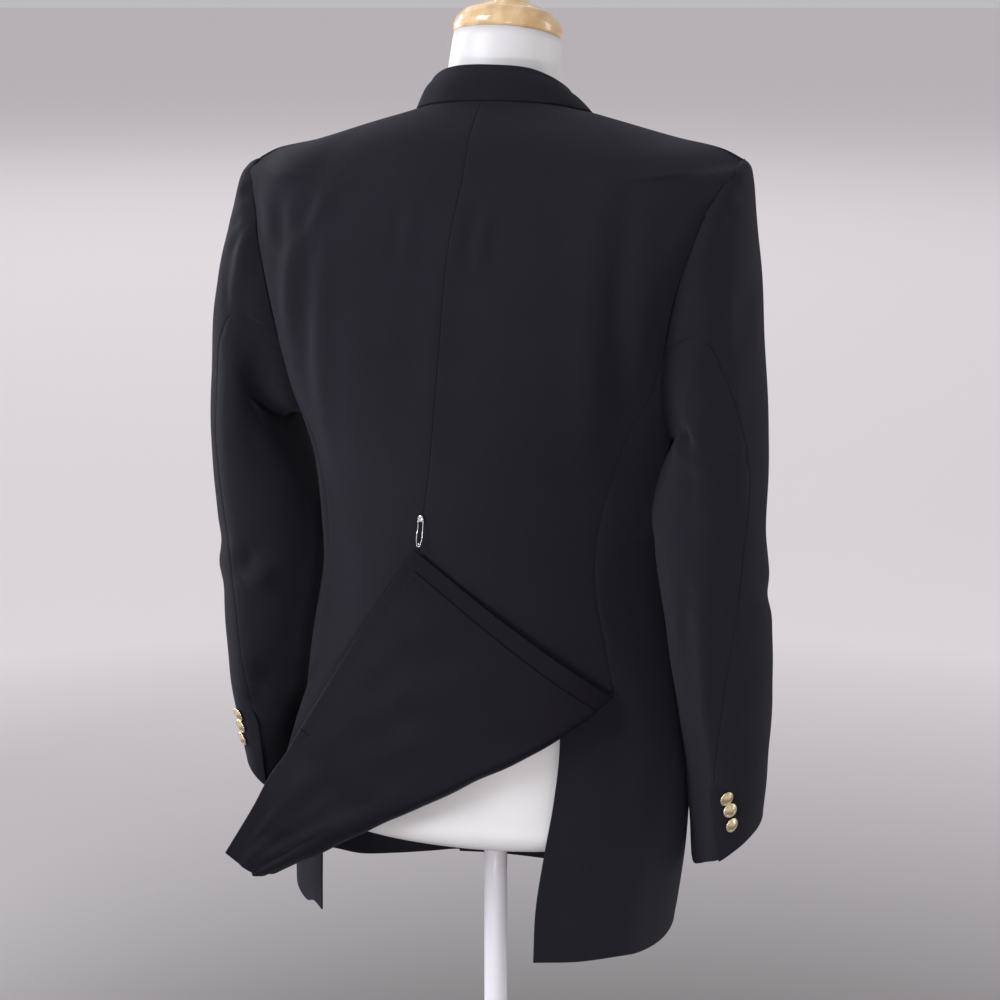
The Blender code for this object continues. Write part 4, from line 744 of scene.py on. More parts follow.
def fold_height(across):
    slope = (FOLD_LEFT[1] - FOLD_RIGHT[1]) / (FOLD_LEFT[0] - FOLD_RIGHT[0])
    return FOLD_RIGHT[1] + slope * (across - FOLD_RIGHT[0])


def turn_depth(across):
    """Height of cloth, straight down, that the turn takes up at one place along the fold."""
    share = np.clip((across - FOLD_RIGHT[0]) / (FOLD_LEFT[0] - FOLD_RIGHT[0]), 0, 1)
    radius = between(FOLD_RADIUS, np.sqrt(share))
    return pi * radius / FOLD_ALONG[0]


def flap_column(side, place):
    """Points of one flap column, from the hem up to the vent tops."""
    angle = back_angles(side, float(side_back_angle(VENT_H)), VENT_H)[place]
    across_top = span_at(angle, VENT_H)
    across_low = BACK_SHARES[place] * seam_span(side, HEM_H)
    hem = HEM_H + FLAP_HEM_RISE
    fold = fold_height(across_top)
    start = max(fold - turn_depth(across_top), hem + HEM_FACING + 0.004)
    rows = np.concatenate([[hem], np.linspace(hem + HEM_FACING, start, FLAP_LOW_ROWS),
                           np.linspace(start, fold, FLAP_TURN_ROWS + 1)[1:],
                           np.linspace(fold, VENT_H, FLAP_HIGH_ROWS + 1)[1:-1]])
    across = between((across_low, across_top), smoothstep(HEM_H, VENT_H, rows))
    return folded(across, rows)


def panel_rows(heights, seam, steps):
    """Heights and seam angles of a panel's rows: up its side seam, its armhole and its shoulder."""
    heights = list(heights)
    edges = [float(seam(height)) for height in heights]
    for step in steps:
        angle, height = armhole_place(step)
        heights.append(float(height))
        edges.append(float(angle))
    for height in np.linspace(TIP_H, NECK_H, SHOULDER_ROWS + 1)[1:]:
        heights.append(float(height))
        edges.append(radians(SHOULDER_SEAM))
    return heights, edges


def back_rows():
    """A back panel's rows from the vent tops to the neck."""
    return panel_rows(seam_heights(SIDE_BACK_STEP)[SKIRT_ROWS:], side_back_angle,
                      range(SIDE_BACK_STEP - 1, -1, -1))


def front_rows():
    """A front panel's rows from the hem to the neck."""
    return panel_rows(seam_heights(SIDE_FRONT_STEP), side_front_angle,
                      range(SIDE_FRONT_STEP + 1, ARMHOLE_STEPS + 1))


def back_grid(side):
    """Outer grid of a back panel, from its skirt's hem to the neck."""
    columns = range(len(BACK_SHARES))
    low = np.array([flap_column(side, place) for place in columns]).transpose(1, 0, 2)
    high = []
    for height, edge in zip(*back_rows()):
        angles = back_angles(side, calm_edge(TIP_STEPS, height, edge), height)
        angles[-1] = SIGN[side] * edge
        high.append(coat_point(angles, height))
    return np.concatenate([low, np.array(high)])


def angle_at_x(x, height):
    """Angle, between the two side seams and across the front, at which the coat has this x."""
    turns = np.linspace(pi / 2, 3 * pi / 2, 181)
    return float(np.interp(-x, -coat_point(turns, np.full(181, float(height)))[:, 0], turns))


def roll_x(height):
    """The front edge below the break and the roll line above it, for the left front."""
    climb = np.clip((height - BREAK_H) / (NECK_H - BREAK_H), 0, 1)
    return -OVERLAP_X + (NECK_EDGE_X + OVERLAP_X) * climb


def front_out(side, x, height):
    """The left front lies over the right one, so it stands off where they overlap."""
    if side == "right":
        return np.zeros_like(x)
    near = 1 - smoothstep(OVERLAP_X, OVERLAP_X + OVERLAP_RAMP, x)
    return OVERLAP_OUT * near * (1 - smoothstep(*OVERLAP_FADE, height))


def front_skin(side, angles, heights):
    points = coat_point(angles, heights)
    lift = front_out(side, points[..., 0], np.asarray(heights, float))
    return points + coat_normal(angles, heights) * lift[..., None]


def front_place(side, x, height):
    """Angle for a place given by its x on the left front; the right front mirrors it."""
    return angle_at_x(x * SIGN[side], height)


def lapel_share(side, height, start):
    """Share of a row, from seam to front edge, at which the lapel's outer edge runs."""
    table = np.array(LAPEL_EDGE)
    at = float(np.clip(height, table[0, 0], table[-1, 0]))
    edge = front_place(side, float(smooth_column(table[:, 0], table[:, 1], at)), at)
    finish = front_place(side, float(roll_x(at)), at)
    share = (edge - start) / (finish - start)
    if height < at:
        share = EVEN_SHARE + (share - EVEN_SHARE) * smoothstep(HEM_H, at, height)
    if height > at:
        share = share + (EVEN_SHARE - share) * (height - at) / (NECK_H - at)
    return float(np.clip(share, 0.05, 0.985))


def gorge_row():
    return SKIRT_ROWS + BODY_ROWS + GORGE_STEP - SIDE_FRONT_STEP


def front_grid(side):
    """Outer grid of a front, from its side seam to its edge, and from its hem to the neck."""
    points = []
    for row, (height, edge) in enumerate(zip(*front_rows())):
        start = edge if side == "left" else 2 * pi - edge
        end = front_place(side, float(roll_x(height)), height)
        calm = calm_edge(ARMHOLE_STEPS - TIP_STEPS, height, edge)
        inner_start = calm if side == "left" else 2 * pi - calm
        share = lapel_share(side, height, start)
        shares = np.concatenate([np.linspace(0, share, BODY_COLUMNS + 1),
                                 np.linspace(share, 1, LAPEL_COLUMNS + 1)[1:]])
        angles = inner_start + (end - inner_start) * shares
        angles[0] = start
        heights = np.full(len(shares), height)
        if row == gorge_row():
            heights[BODY_COLUMNS:] -= np.array(GORGE_DIP)
        points.append(front_skin(side, angles, heights))
    return np.array(points)


def collar_places():
    """Stations of the neck seam from the right gorge round the back to the left gorge."""
    half = []
    neck_end = front_place("left", float(roll_x(NECK_H)), NECK_H)
    for angle in np.linspace(0, neck_end, COLLAR_STATIONS):
        half.append((angle, NECK_H, 0.0))
    for share in (0.35, 0.7, 1.0):
        height = NECK_H + (COLLAR_END_H - NECK_H) * share
        half.append((front_place("left", float(roll_x(height)), height), height, share))
    right = [(-a, h, s) for a, h, s in half[:0:-1]]
    return right + half


def surface_walk(angle, height, direction, distance):
    """Follow the coat's surface for a distance in a direction; returns angle and height."""
    step = 1e-4
    for _ in range(4):
        by_angle = (coat_point(angle + step, height) - coat_point(angle, height)) / step
        by_height = (coat_point(angle, height) - coat_point(angle, height - step)) / step
        frame = np.stack([by_angle, by_height], axis=1)
        move = np.linalg.lstsq(frame, direction * distance / 4, rcond=None)[0]
        angle = angle + move[0]
        height = height + move[1]
    return angle, height


def spread(place):
    """How far round a collar station is: 0 at the centre back, 1 at the gorge."""
    angle, _, front = place
    if front == 0:
        return abs(angle) / (pi * COLLAR_BACK_SHARE)
    return COLLAR_BACK_SHARE + (1 - COLLAR_BACK_SHARE) * front


def front_lift(angle, height):
    point = coat_point(angle, height)
    side = "left" if point[0] > 0 else "right"
    return float(front_out(side, np.asarray(point[0]), np.asarray(height)))


def sleeve_turns(side, place):
    """Turns of a ring's steps; the back seam wanders round the sleeve, and its neighbours with it."""
    seam = float(smooth_column(HINDARM_KEYS, HINDARM_PLACE[side], place))
    steps = np.interp(np.arange(ARMHOLE_STEPS), (0, HINDARM_STEP, FOREARM_STEP, ARMHOLE_STEPS),
                      (0, seam, FOREARM_STEP, ARMHOLE_STEPS))
    return 2 * pi * steps / ARMHOLE_STEPS


def sleeve_oval(side, place):
    """One ring of a sleeve from its table, at a place between rows."""
    turns = sleeve_turns(side, place)
    table = np.array(SLEEVE_ROWS, float)
    keys = np.arange(len(table))
    values = [smooth_column(keys, table[:, k], place) for k in range(table.shape[1])]
    outer_x, outer_z, inner_x, inner_z, centre_y, depth, twist, pitch = values
    own = smoothstep(0, SLEEVE_SET_BY, place)
    outer_add, inner_add, depth_scale = SLEEVE_SET[side]
    hang = smoothstep(0, len(table) - 1, place) * SLEEVE_LIFT[side]
    drop = LEFT_DROP * (1 - smoothstep(0, 5, place)) if side == "left" else 0.0
    shift = smooth_column(OUTER_KEYS, OUTER_SHIFT[side], place)
    outer = np.array([outer_x + outer_add * own + shift, centre_y, outer_z + hang - drop])
    full = smooth_column(INNER_KEYS, INNER_SHIFT[side], place)
    inner = np.array([inner_x + inner_add * own - full, centre_y, inner_z + hang])
    depth = depth * (1 + (depth_scale - 1) * own)
    across = unit(outer - inner)
    along = np.array([0, cos(radians(pitch)), -sin(radians(pitch))])
    major = across * cos(radians(twist)) + along * sin(radians(twist))
    minor = along * cos(radians(twist)) - across * sin(radians(twist))
    half = np.linalg.norm(outer - inner) / 2
    ring = ((outer + inner) / 2 + np.cos(turns)[:, None] * half * major
            + np.sin(turns)[:, None] * depth * minor)
    return ring * np.array([SIGN[side], 1, 1])


def armhole_ring(side):
    angles, heights = armhole_place(np.arange(ARMHOLE_STEPS))
    return coat_point(angles * SIGN[side], heights)


def sleeve_grid(side):
    """Rings of a whole sleeve from the armhole down, a column for each armhole step."""
    armhole = armhole_ring(side)
    own = armhole - sleeve_oval(side, 0.0)
    rings = [armhole]
    for place in SLEEVE_PLACES:
        fade = 1 - smoothstep(0, SLEEVE_BLEND, place)
        rings.append(sleeve_oval(side, place) + own * fade)
    rings[-1][:, 2] -= np.interp(np.arange(ARMHOLE_STEPS), HEM_STEPS, HEM_DROPS)
    return np.array(rings)


def frame_on(point, normal, upward):
    across = unit(np.cross(upward, normal))
    return point, across, unit(np.cross(normal, across)), normal


def tilted_ring(centre, half_width, half_depth, tilt, turns):
    back = np.array([0, cos(radians(tilt)), sin(radians(tilt))])
    side = np.array([1.0, 0, 0])
    turns = turns[:, None]
    return centre + half_width * np.sin(turns) * side + half_depth * np.cos(turns) * back


# ---- fine surfaces through the coarse grids ----
def mean_lengths(grid, axis):
    steps = np.linalg.norm(np.diff(grid, axis=axis), axis=-1).mean(axis=1 - axis)
    return np.concatenate([[0], np.cumsum(steps)])


def places(start, end, step=None):
    """Positions from start to end, closer together near both, so that an edge can be rounded."""
    step = step or STEP
    count = max(2, round((end - start) / step))
    middle = np.linspace(start + EDGE_PLACES[-1], end - EDGE_PLACES[-1], count)
    near = np.array(EDGE_PLACES[:-1])
    return np.concatenate([start + near, middle, end - near[::-1]])


class Surface:
    """A smooth surface through a coarse grid, read in metres along its rows and its columns."""

    def __init__(self, grid, outward=1, corners=()):
        """At a corner's row each column turns sharply by its own share, instead of flowing past it."""
        self.grid = grid
        self.rows = mean_lengths(grid, 0)
        self.columns = mean_lengths(grid, 1)
        self.outward = outward
        self.corners = corners

    def points(self, rows, columns):
        flowing = spline(self.rows, self.grid, rows)
        along = flowing
        for corner, sharp in self.corners:
            key = self.rows[corner]
            low = spline(self.rows[:corner + 1], self.grid[:corner + 1], np.minimum(rows, key))
            high = spline(self.rows[corner:], self.grid[corner:], np.maximum(rows, key))
            bent = np.where((rows <= key)[:, None, None], low, high)
            along = along + (bent - flowing) * sharp[None, :, None]
        return spline(self.columns, along.swapaxes(0, 1), columns).swapaxes(0, 1)

    def normals(self, rows, columns, step=NORMAL_STEP):
        up = self.points(rows + step, columns) - self.points(rows - step, columns)
        along = self.points(rows, columns + step) - self.points(rows, columns - step)
        return unit(np.cross(up, along)) * self.outward


BORDERS = {"first_row": (np.s_[0], np.s_[1]), "last_row": (np.s_[-1], np.s_[-2]),
           "first_column": (np.s_[:, 0], np.s_[:, 1]), "last_column": (np.s_[:, -1], np.s_[:, -2])}


class Cut:
    """One piece of cloth cut from a surface: its fine grid, normals and places in metres."""

    def __init__(self, surface, row_span, column_span, step=None, turn=()):
        self.surface = surface
        self.rows = places(*row_span, step)
        if len(turn):
            outside = (self.rows < turn[0] - TINY) | (self.rows > turn[-1] + TINY)
            self.rows = np.sort(np.concatenate([self.rows[outside], turn[turn < row_span[1]]]))
        self.columns = places(*column_span, step)
        self.points = surface.points(self.rows, self.columns)
        self.normals = surface.normals(self.rows, self.columns)
        self.row = self.rows[:, None] + 0 * self.columns[None]
        self.column = self.columns[None] + 0 * self.rows[:, None]
        self.keep = None
        self.seams = []

    def sew(self, line, beside, where=1.0):
        """Along a seam the wall's inner edge reaches on a little, so that nothing shines through."""
        self.seams.append((line, beside, where))

    def sew_borders(self, *sides, where=None):
        for side in sides:
            line, beside = BORDERS[side]
            self.sew(line, beside, 1.0 if where is None else where[line])

    def edge(self, side):
        """Distance in metres from one named border."""
        return {"first_row": self.row - self.rows[0], "last_row": self.rows[-1] - self.row,
                "first_column": self.column - self.columns[0],
                "last_column": self.columns[-1] - self.column}[side]

    def nearest_edge(self):
        sides = ("first_row", "last_row", "first_column", "last_column")
        return np.min([self.edge(side) for side in sides], axis=0)

    def move(self, distance):
        self.points = self.points + self.normals * np.asarray(distance)[..., None]

    def fresh_normals(self):
        """Normals again, after the cloth has been moved."""
        up = np.gradient(self.points, self.rows, axis=0)
        along = np.gradient(self.points, self.columns, axis=1)
        self.normals = unit(np.cross(up, along)) * self.surface.outward


def seam_groove(distance, where=1.0, dip=SEAM_DIP):
    """How far cloth dips beside a seam."""
    return -dip * np.exp(-(distance / SEAM_REACH) ** 2) * where


# ---- creases ----
FACES = {"back": ((1, 0), (0, 1, 0)), "front": ((1, 0), (0, -1, 0)),
         "left": ((0, 1), (1, 0, 0)), "right": ((0, 1), (-1, 0, 0))}


def crease(points, normals, row):
    """Offset of one crease: a soft trough or ridge beside a bent line on one face of the coat."""
    (use_x, use_y), direction = FACES[row[0]]
    start_a, start_z, end_a, end_z, bend, width, depth = (measure / 1000 for measure in row[1:])
    facing = smoothstep(0.0, 0.30, normals @ np.array(direction, float))
    a = points[..., 0] * use_x + points[..., 1] * use_y
    z = points[..., 2]
    run = np.array([end_a - start_a, end_z - start_z])
    length = float(np.linalg.norm(run))
    run = run / length
    along = ((a - start_a) * run[0] + (z - start_z) * run[1]) / length
    inside = np.clip(along, 0, 1)
    across = -(a - start_a) * run[1] + (z - start_z) * run[0] - bend * np.sin(pi * inside)
    ends = np.where((along > 0) & (along < 1), 0, np.minimum(abs(along), abs(along - 1)) * length)
    taper = np.sin(pi * np.clip(0.06 + 0.88 * inside, 0, 1)) ** 0.7 * np.exp(-(ends / width) ** 2)
    profile = np.exp(-(across / width) ** 2) - 0.30 * np.exp(-((abs(across) - 2 * width) / width) ** 2)
    return CREASE_SCALE * depth * taper * profile * facing


def creased(points, normals, table):
    total = np.zeros(points.shape[:2])
    for row in table:
        total += crease(points, normals, row)
    return total


def unevenness(points, size, height, seed):
    """Gentle rise and fall of cloth: a few waves in fixed random directions."""
    draw = np.random.default_rng(seed)
    total = np.zeros(points.shape[:-1])
    for _ in range(WAVES):
        direction = unit(draw.normal(size=3))
        count = 2 * pi / (size * draw.uniform(0.7, 1.6))
        total += np.sin(points @ direction * count + draw.uniform(0, 2 * pi))
    return total * height / WAVES ** 0.5


# ---- meshes ----
def cell_faces(rows, columns, keep=None):
    """Corner indices of a grid's cells."""
    r, c = np.meshgrid(np.arange(rows - 1), np.arange(columns - 1), indexing="ij")
    if keep is not None:
        r, c = r[keep], c[keep]
    a = (r * columns + c).ravel()
    return np.stack([a, a + 1, a + columns + 1, a + columns], axis=1)


def border_faces(cells, back):
    """Quads that close a wall between its front cells and the same cells at the back."""
    edges = np.concatenate([cells[:, [k, (k + 1) % 4]] for k in range(4)])
    known = {tuple(edge) for edge in edges.tolist()}
    return [(b, a, back + a, back + b) for a, b in edges.tolist() if (b, a) not in known]


def placed(name, data):
    """A new object in the scene."""
    thing = bpy.data.objects.new(name, data)
    bpy.context.scene.collection.objects.link(thing)
    return thing


def mesh_object(name, points, faces, finishes, spots=None, uv=None):
    mesh = bpy.data.meshes.new(name)
    mesh.from_pydata(np.asarray(points).reshape(-1, 3).tolist(), [], faces)
    for finish in finishes:
        mesh.materials.append(finish)
    if spots is not None:
        mesh.polygons.foreach_set("material_index", spots)
    if uv is not None:
        layer = mesh.uv_layers.new(name="cloth")
        corners = np.zeros(len(mesh.loops), np.int32)
        mesh.loops.foreach_get("vertex_index", corners)
        layer.data.foreach_set("uv", np.asarray(uv, np.float32)[corners].ravel())
    body = bmesh.new()
    body.from_mesh(mesh)
    bmesh.ops.delete(body, geom=[v for v in body.verts if not v.link_faces], context="VERTS")
    bmesh.ops.recalc_face_normals(body, faces=body.faces)
    body.to_mesh(mesh)
    body.free()
    mesh.shade_smooth()
    thing = placed(name, mesh)
    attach(thing, "root")
    return thing


def stand_for(thing, piece):
    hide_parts(piece)
    return thing


def cloth_wall(piece, cut, finishes=("wool", "lining"), thick=CLOTH, distance=None):
    """A thin shell with rounded edges: its outside, the same grid moved in, and the rim between."""
    rows, columns = cut.points.shape[:2]
    distance = cut.nearest_edge() if distance is None else distance
    half = thick / 2
    near = np.clip(half - distance, 0, half)
    inset = EDGE_ROUND * (half - np.sqrt(half ** 2 - near ** 2))
    outer = cut.points - cut.normals * inset[..., None]
    inner = cut.points - cut.normals * (thick - inset)[..., None]
    for line, beside, where in cut.seams:
        onward = unit(cut.points[line] - cut.points[beside])
        inner[line] += onward * SEAM_TUCK * np.asarray(where)[..., None]
    back = rows * columns
    cells = cell_faces(rows, columns, cut.keep)
    rim = border_faces(cells, back)
    faces = cells.tolist() + (back + cells[:, ::-1]).tolist() + rim
    spots = [0] * len(cells) + [len(finishes) - 1] * len(cells) + [0] * len(rim)
    uv = np.stack([cut.column, cut.row], axis=-1).reshape(-1, 2)
    thing = mesh_object("cloth_" + piece, np.concatenate([outer.reshape(-1, 3), inner.reshape(-1, 3)]),
                        faces, [FINISH[name] for name in finishes], spots, np.concatenate([uv, uv]))
    return stand_for(thing, piece)


def turned(name, seat, profile, finish, segments=64, ripple=None):
    """A turned piece on a seat: profile rows are radius and height along the seat's normal."""
    point, across, up, normal = seat
    turns = 2 * pi * np.arange(segments) / segments
    rings = []
    for k, (radius, rise) in enumerate(profile):
        wide = radius + (ripple(k, turns) if ripple else 0 * turns)
        rings.append(point + normal * rise + wide[:, None] * (np.cos(turns)[:, None] * across
                                                              + np.sin(turns)[:, None] * up))
    return ring_stack(name, rings, finish)


def ring_stack(name, rings, finish):
    """A closed solid through matching rings, each end closed with a fan."""
    count = len(rings[0])
    points = np.concatenate(list(rings) + [rings[0].mean(axis=0)[None], rings[-1].mean(axis=0)[None]])
    faces = []
    for r in range(len(rings) - 1):
        low = r * count
        for c in range(count):
            d = (c + 1) % count
            faces.append((low + c, low + d, low + count + d, low + count + c))
    last = (len(rings) - 1) * count
    for c in range(count):
        d = (c + 1) % count
        faces.append((d, c, len(points) - 2))
        faces.append((last + c, last + d, len(points) - 1))
    return mesh_object(name, points, faces, [finish])


def round_profile(corners, radius, parts=5):
    """A profile whose inner corners are rounded, as turned wood and metal are."""
    made = [corners[0]]
    for before, corner, after in zip(corners, corners[1:], corners[2:]):
        corner = np.array(corner)
        into = np.array(before) - corner
        out = np.array(after) - corner
        cut = min(radius, 0.45 * np.linalg.norm(into), 0.45 * np.linalg.norm(out))
        start = corner + into / np.linalg.norm(into) * cut
        end = corner + out / np.linalg.norm(out) * cut
        for share in np.linspace(0, 1, parts):
            bend = (1 - share) ** 2 * start + 2 * share * (1 - share) * corner + share ** 2 * end
            made.append(tuple(bend))
    made.append(corners[-1])
    return made


def tube(name, path, radius, finish, sides=10):
    """A round wire along a path of points."""
    path = np.asarray(path, float)
    tangent = unit(np.gradient(path, axis=0))
    side = unit(np.cross(tangent[0], tangent[0][[1, 2, 0]] + 0.1))
    turns = 2 * pi * np.arange(sides) / sides
    rings = []
    for k, point in enumerate(path):
        side = unit(side - tangent[k] * (side @ tangent[k]))
        other = np.cross(tangent[k], side)
        rings.append(point + radius * (np.cos(turns)[:, None] * side + np.sin(turns)[:, None] * other))
    return ring_stack(name, rings, finish)


# ---- finishes ----
def node(tree, kind, inputs=None, **settings):
    """A shader node; an input is either a constant or the socket that feeds it."""
    made = tree.nodes.new(kind)
    for key, value in settings.items():
        setattr(made, key, value)
    for key, value in (inputs or {}).items():
        if isinstance(value, bpy.types.NodeSocket):
            tree.links.new(value, made.inputs[key])
        else:
            made.inputs[key].default_value = value
    return made


def maths(tree, operation, *values):
    return node(tree, "ShaderNodeMath", dict(enumerate(values)), operation=operation).outputs[0]


def scaled(tree, value, by, plus):
    return maths(tree, "MULTIPLY_ADD", value, by, plus)


def ranged(tree, value, low, high):
    """0 below the first value, 1 above the second, and even between them."""
    return node(tree, "ShaderNodeMapRange", {"Value": value, "From Min": low, "From Max": high}).outputs[0]


def blend_colours(tree, share, first, second):
    """Colour between two; the numbers are the Mix node's colour sockets."""
    made = node(tree, "ShaderNodeMix", {0: share, 6: first, 7: second}, data_type="RGBA")
    return made.outputs[2]


def noise(tree, place, scale, detail=2.0, rough=0.5):
    made = node(tree, "ShaderNodeTexNoise", {"Vector": place, "Scale": scale, "Detail": detail,
                                             "Roughness": rough})
    return made.outputs["Fac"]


def new_group(name, inputs, outputs):
    tree = bpy.data.node_groups.new(name, "ShaderNodeTree")
    for label, kind in inputs:
        tree.interface.new_socket(label, in_out="INPUT", socket_type="NodeSocket" + kind)
    for label, kind in outputs:
        tree.interface.new_socket(label, in_out="OUTPUT", socket_type="NodeSocket" + kind)
    return tree, tree.nodes.new("NodeGroupInput").outputs, tree.nodes.new("NodeGroupOutput").inputs


def make_twill():
    """Steep diagonal ribs and the yarns across them, as a height, and as a tone that is painted shade:
    darker in the ribs' grooves, lighter on their crests.
    """
    tree, given, made = new_group("twill", (("Cloth", "Vector"), ("Rib", "Float")),
                                  (("Height", "Float"), ("Tone", "Float")))
    split = node(tree, "ShaderNodeSeparateXYZ", {0: given["Cloth"]}).outputs
    lean = maths(tree, "SUBTRACT", maths(tree, "MULTIPLY", split["X"], sin(radians(RIB_ANGLE))),
                 maths(tree, "MULTIPLY", split["Y"], cos(radians(RIB_ANGLE))))
    wobble = maths(tree, "MULTIPLY", noise(tree, given["Cloth"], 700.0), 1.6)
    ribs = maths(tree, "DIVIDE", maths(tree, "MULTIPLY", lean, 2 * pi), given["Rib"])
    turn = maths(tree, "ADD", ribs, wobble)
    rib = scaled(tree, maths(tree, "SINE", turn), 0.5, 0.5)
    yarn = maths(tree, "SINE", maths(tree, "DIVIDE", maths(tree, "MULTIPLY", split["Y"], 2 * pi),
                                     maths(tree, "MULTIPLY", given["Rib"], 0.6)))
    height = scaled(tree, yarn, 0.15, rib)
    tree.links.new(height, made["Height"])
    # painted shade: the colour darkens where the rib is low
    tree.links.new(scaled(tree, rib, 0.24, 0.88), made["Tone"])
    return tree


def make_fuzz():
    """Short fibres and slow changes of the nap, as a height, a tone and a light lint mask."""
    tree, given, made = new_group("fuzz", (("Place", "Vector"),),
                                  (("Height", "Float"), ("Tone", "Float"), ("Lint", "Float")))
    fine = noise(tree, given["Place"], 900.0, 3.0, 0.65)
    nap = noise(tree, given["Place"], 210.0, 3.0, 0.6)
    slow = noise(tree, given["Place"], 16.0, 2.0)
    height = scaled(tree, nap, 0.8, fine)
    tone = scaled(tree, nap, 0.34, scaled(tree, slow, 0.30, 0.68))
    speck = ranged(tree, noise(tree, given["Place"], 420.0, 1.0), 0.80, 0.86)
    tree.links.new(height, made["Height"])
    tree.links.new(tone, made["Tone"])
    tree.links.new(speck, made["Lint"])
    return tree


def make_wear():
    """Fine unevenness of a hard finish: a slow change and small marks, for its roughness."""
    tree, given, made = new_group("wear", (("Place", "Vector"), ("Size", "Float")),
                                  (("Rough", "Float"), ("Height", "Float")))
    slow = noise(tree, given["Place"], given["Size"], 3.0)
    marks = noise(tree, given["Place"], maths(tree, "MULTIPLY", given["Size"], 9.0), 2.0)
    tree.links.new(scaled(tree, marks, 0.5, maths(tree, "MULTIPLY", slow, 0.5)),
                   made["Rough"])
    tree.links.new(marks, made["Height"])
    return tree


def make_grain():
    """Turned maple: fine lines along the wood, with pale and darker bands."""
    tree, given, made = new_group("grain", (("Place", "Vector"),), (("Band", "Float"), ("Line", "Float")))
    long = node(tree, "ShaderNodeVectorMath", {0: given["Place"], 1: (60.0, 9.0, 55.0)},
                operation="MULTIPLY").outputs[0]
    band = noise(tree, long, 1.0, 3.0, 0.55)
    lines = node(tree, "ShaderNodeVectorMath", {0: given["Place"], 1: (900.0, 40.0, 800.0)},
                 operation="MULTIPLY").outputs[0]
    tree.links.new(band, made["Band"])
    tree.links.new(noise(tree, lines, 1.0, 2.0), made["Line"])
    return tree


SHARED = {"twill": make_twill(), "fuzz": make_fuzz(), "wear": make_wear(), "grain": make_grain()}


def use(tree, name, inputs):
    """A shared effect placed in a material, with its own values."""
    return node(tree, "ShaderNodeGroup", inputs, node_tree=SHARED[name]).outputs


def new_finish(name, **constants):
    """A material with its Principled shader's constants set by their names."""
    made = bpy.data.materials.new(name)
    made.use_nodes = True
    shader = made.node_tree.nodes["Principled BSDF"]
    for key, value in constants.items():
        shader.inputs[key.replace("_", " ")].default_value = value
    place = node(made.node_tree, "ShaderNodeTexCoord").outputs["Object"]
    return made, made.node_tree, shader, place


def toned(tree, colour, tone):
    """A colour made lighter or darker by a tone near 1."""
    return node(tree, "ShaderNodeVectorMath", {0: colour, "Scale": tone}, operation="SCALE").outputs[0]


def bumped(tree, shader, height, distance):
    bump = node(tree, "ShaderNodeBump", {"Height": height, "Distance": distance, "Strength": 1.0})
    tree.links.new(bump.outputs["Normal"], shader.inputs["Normal"])


def woven_finish(name, colour, *, rib, tone_share, bump, fuzz, lint, rough, **constants):
    """A woven cloth: twill ribs over its UV in metres, with the nap's own unevenness."""
    made, tree, shader, place = new_finish(name, **constants)
    cloth = node(tree, "ShaderNodeUVMap", uv_map="cloth").outputs["UV"]
    weave_and_shade = use(tree, "twill", {"Cloth": cloth, "Rib": rib})
    nap = use(tree, "fuzz", {"Place": place})
    tone = scaled(tree, maths(tree, "SUBTRACT", nap["Tone"], 1.0), tone_share, 1.0)
    # painted shade from the twill: the base colour darkens in the ribs' grooves
    tone = maths(tree, "MULTIPLY", tone, weave_and_shade["Tone"])
    base = toned(tree, colour, tone)
    dusty = blend_colours(tree, maths(tree, "MULTIPLY", nap["Lint"], lint), base, LINT_COLOUR)
    tree.links.new(dusty, shader.inputs["Base Color"])
    tree.links.new(scaled(tree, nap["Tone"], 0.10, rough - 0.10), shader.inputs["Roughness"])
    height = scaled(tree, nap["Height"], fuzz, weave_and_shade["Height"])
    bumped(tree, shader, height, bump)
    return made


def marked(tree, shader, place, size, rough, swing, bump):
    """Fine marks of a hard finish, in its roughness and its relief; returns their strength."""
    worn = use(tree, "wear", {"Place": place, "Size": size})
    tree.links.new(scaled(tree, worn["Rough"], swing, rough - swing / 2), shader.inputs["Roughness"])
    bumped(tree, shader, worn["Height"], bump)
    return worn["Rough"]


def metal_finish(name, colour, *, rough, size, bump):
    """A bright metal with fine marks."""
    made, tree, shader, place = new_finish(name, Base_Color=(*colour, 1), Metallic=1.0)
    marked(tree, shader, place, size, rough, 0.16, bump)
    return made


def shell_finish(name, colour, *, rough, size, bump):
    """A smooth moulded or painted surface."""
    made, tree, shader, place = new_finish(name)
    tone = scaled(tree, marked(tree, shader, place, size, rough, 0.14, bump), 0.05, 0.975)
    tree.links.new(toned(tree, colour, tone), shader.inputs["Base Color"])
    return made


def maple_finish():
    made, tree, shader, place = new_finish("clear_varnished_maple", Roughness=0.38, Coat_Weight=1.0,
                                           Coat_Roughness=0.06)
    wood = use(tree, "grain", {"Place": place})
    band = ranged(tree, wood["Band"], 0.35, 0.65)
    colour = blend_colours(tree, band, MAPLE_DARK, MAPLE_LIGHT)
    tone = scaled(tree, wood["Line"], 0.20, 0.90)
    tree.links.new(toned(tree, colour, tone), shader.inputs["Base Color"])
    return made


def floor_finish():
    """A plain pale floor, with painted shade: darker round the stand."""
    made, tree, shader, place = new_finish("pale_floor_painted_shade", Roughness=0.9, Specular_IOR_Level=0.2)
    far = node(tree, "ShaderNodeVectorMath", {0: place}, operation="LENGTH").outputs["Value"]
    # painted shade: the colour is darker near the stand and pale further out
    colour = blend_colours(tree, ranged(tree, far, FLOOR_SHADE_NEAR, FLOOR_SHADE_FAR), FLOOR_PAINTED_SHADE, FLOOR_LIGHT)
    worn = use(tree, "wear", {"Place": place, "Size": 1.5})
    tone = scaled(tree, worn["Rough"], 0.03, 0.985)
    tree.links.new(toned(tree, colour, tone), shader.inputs["Base Color"])
    return made


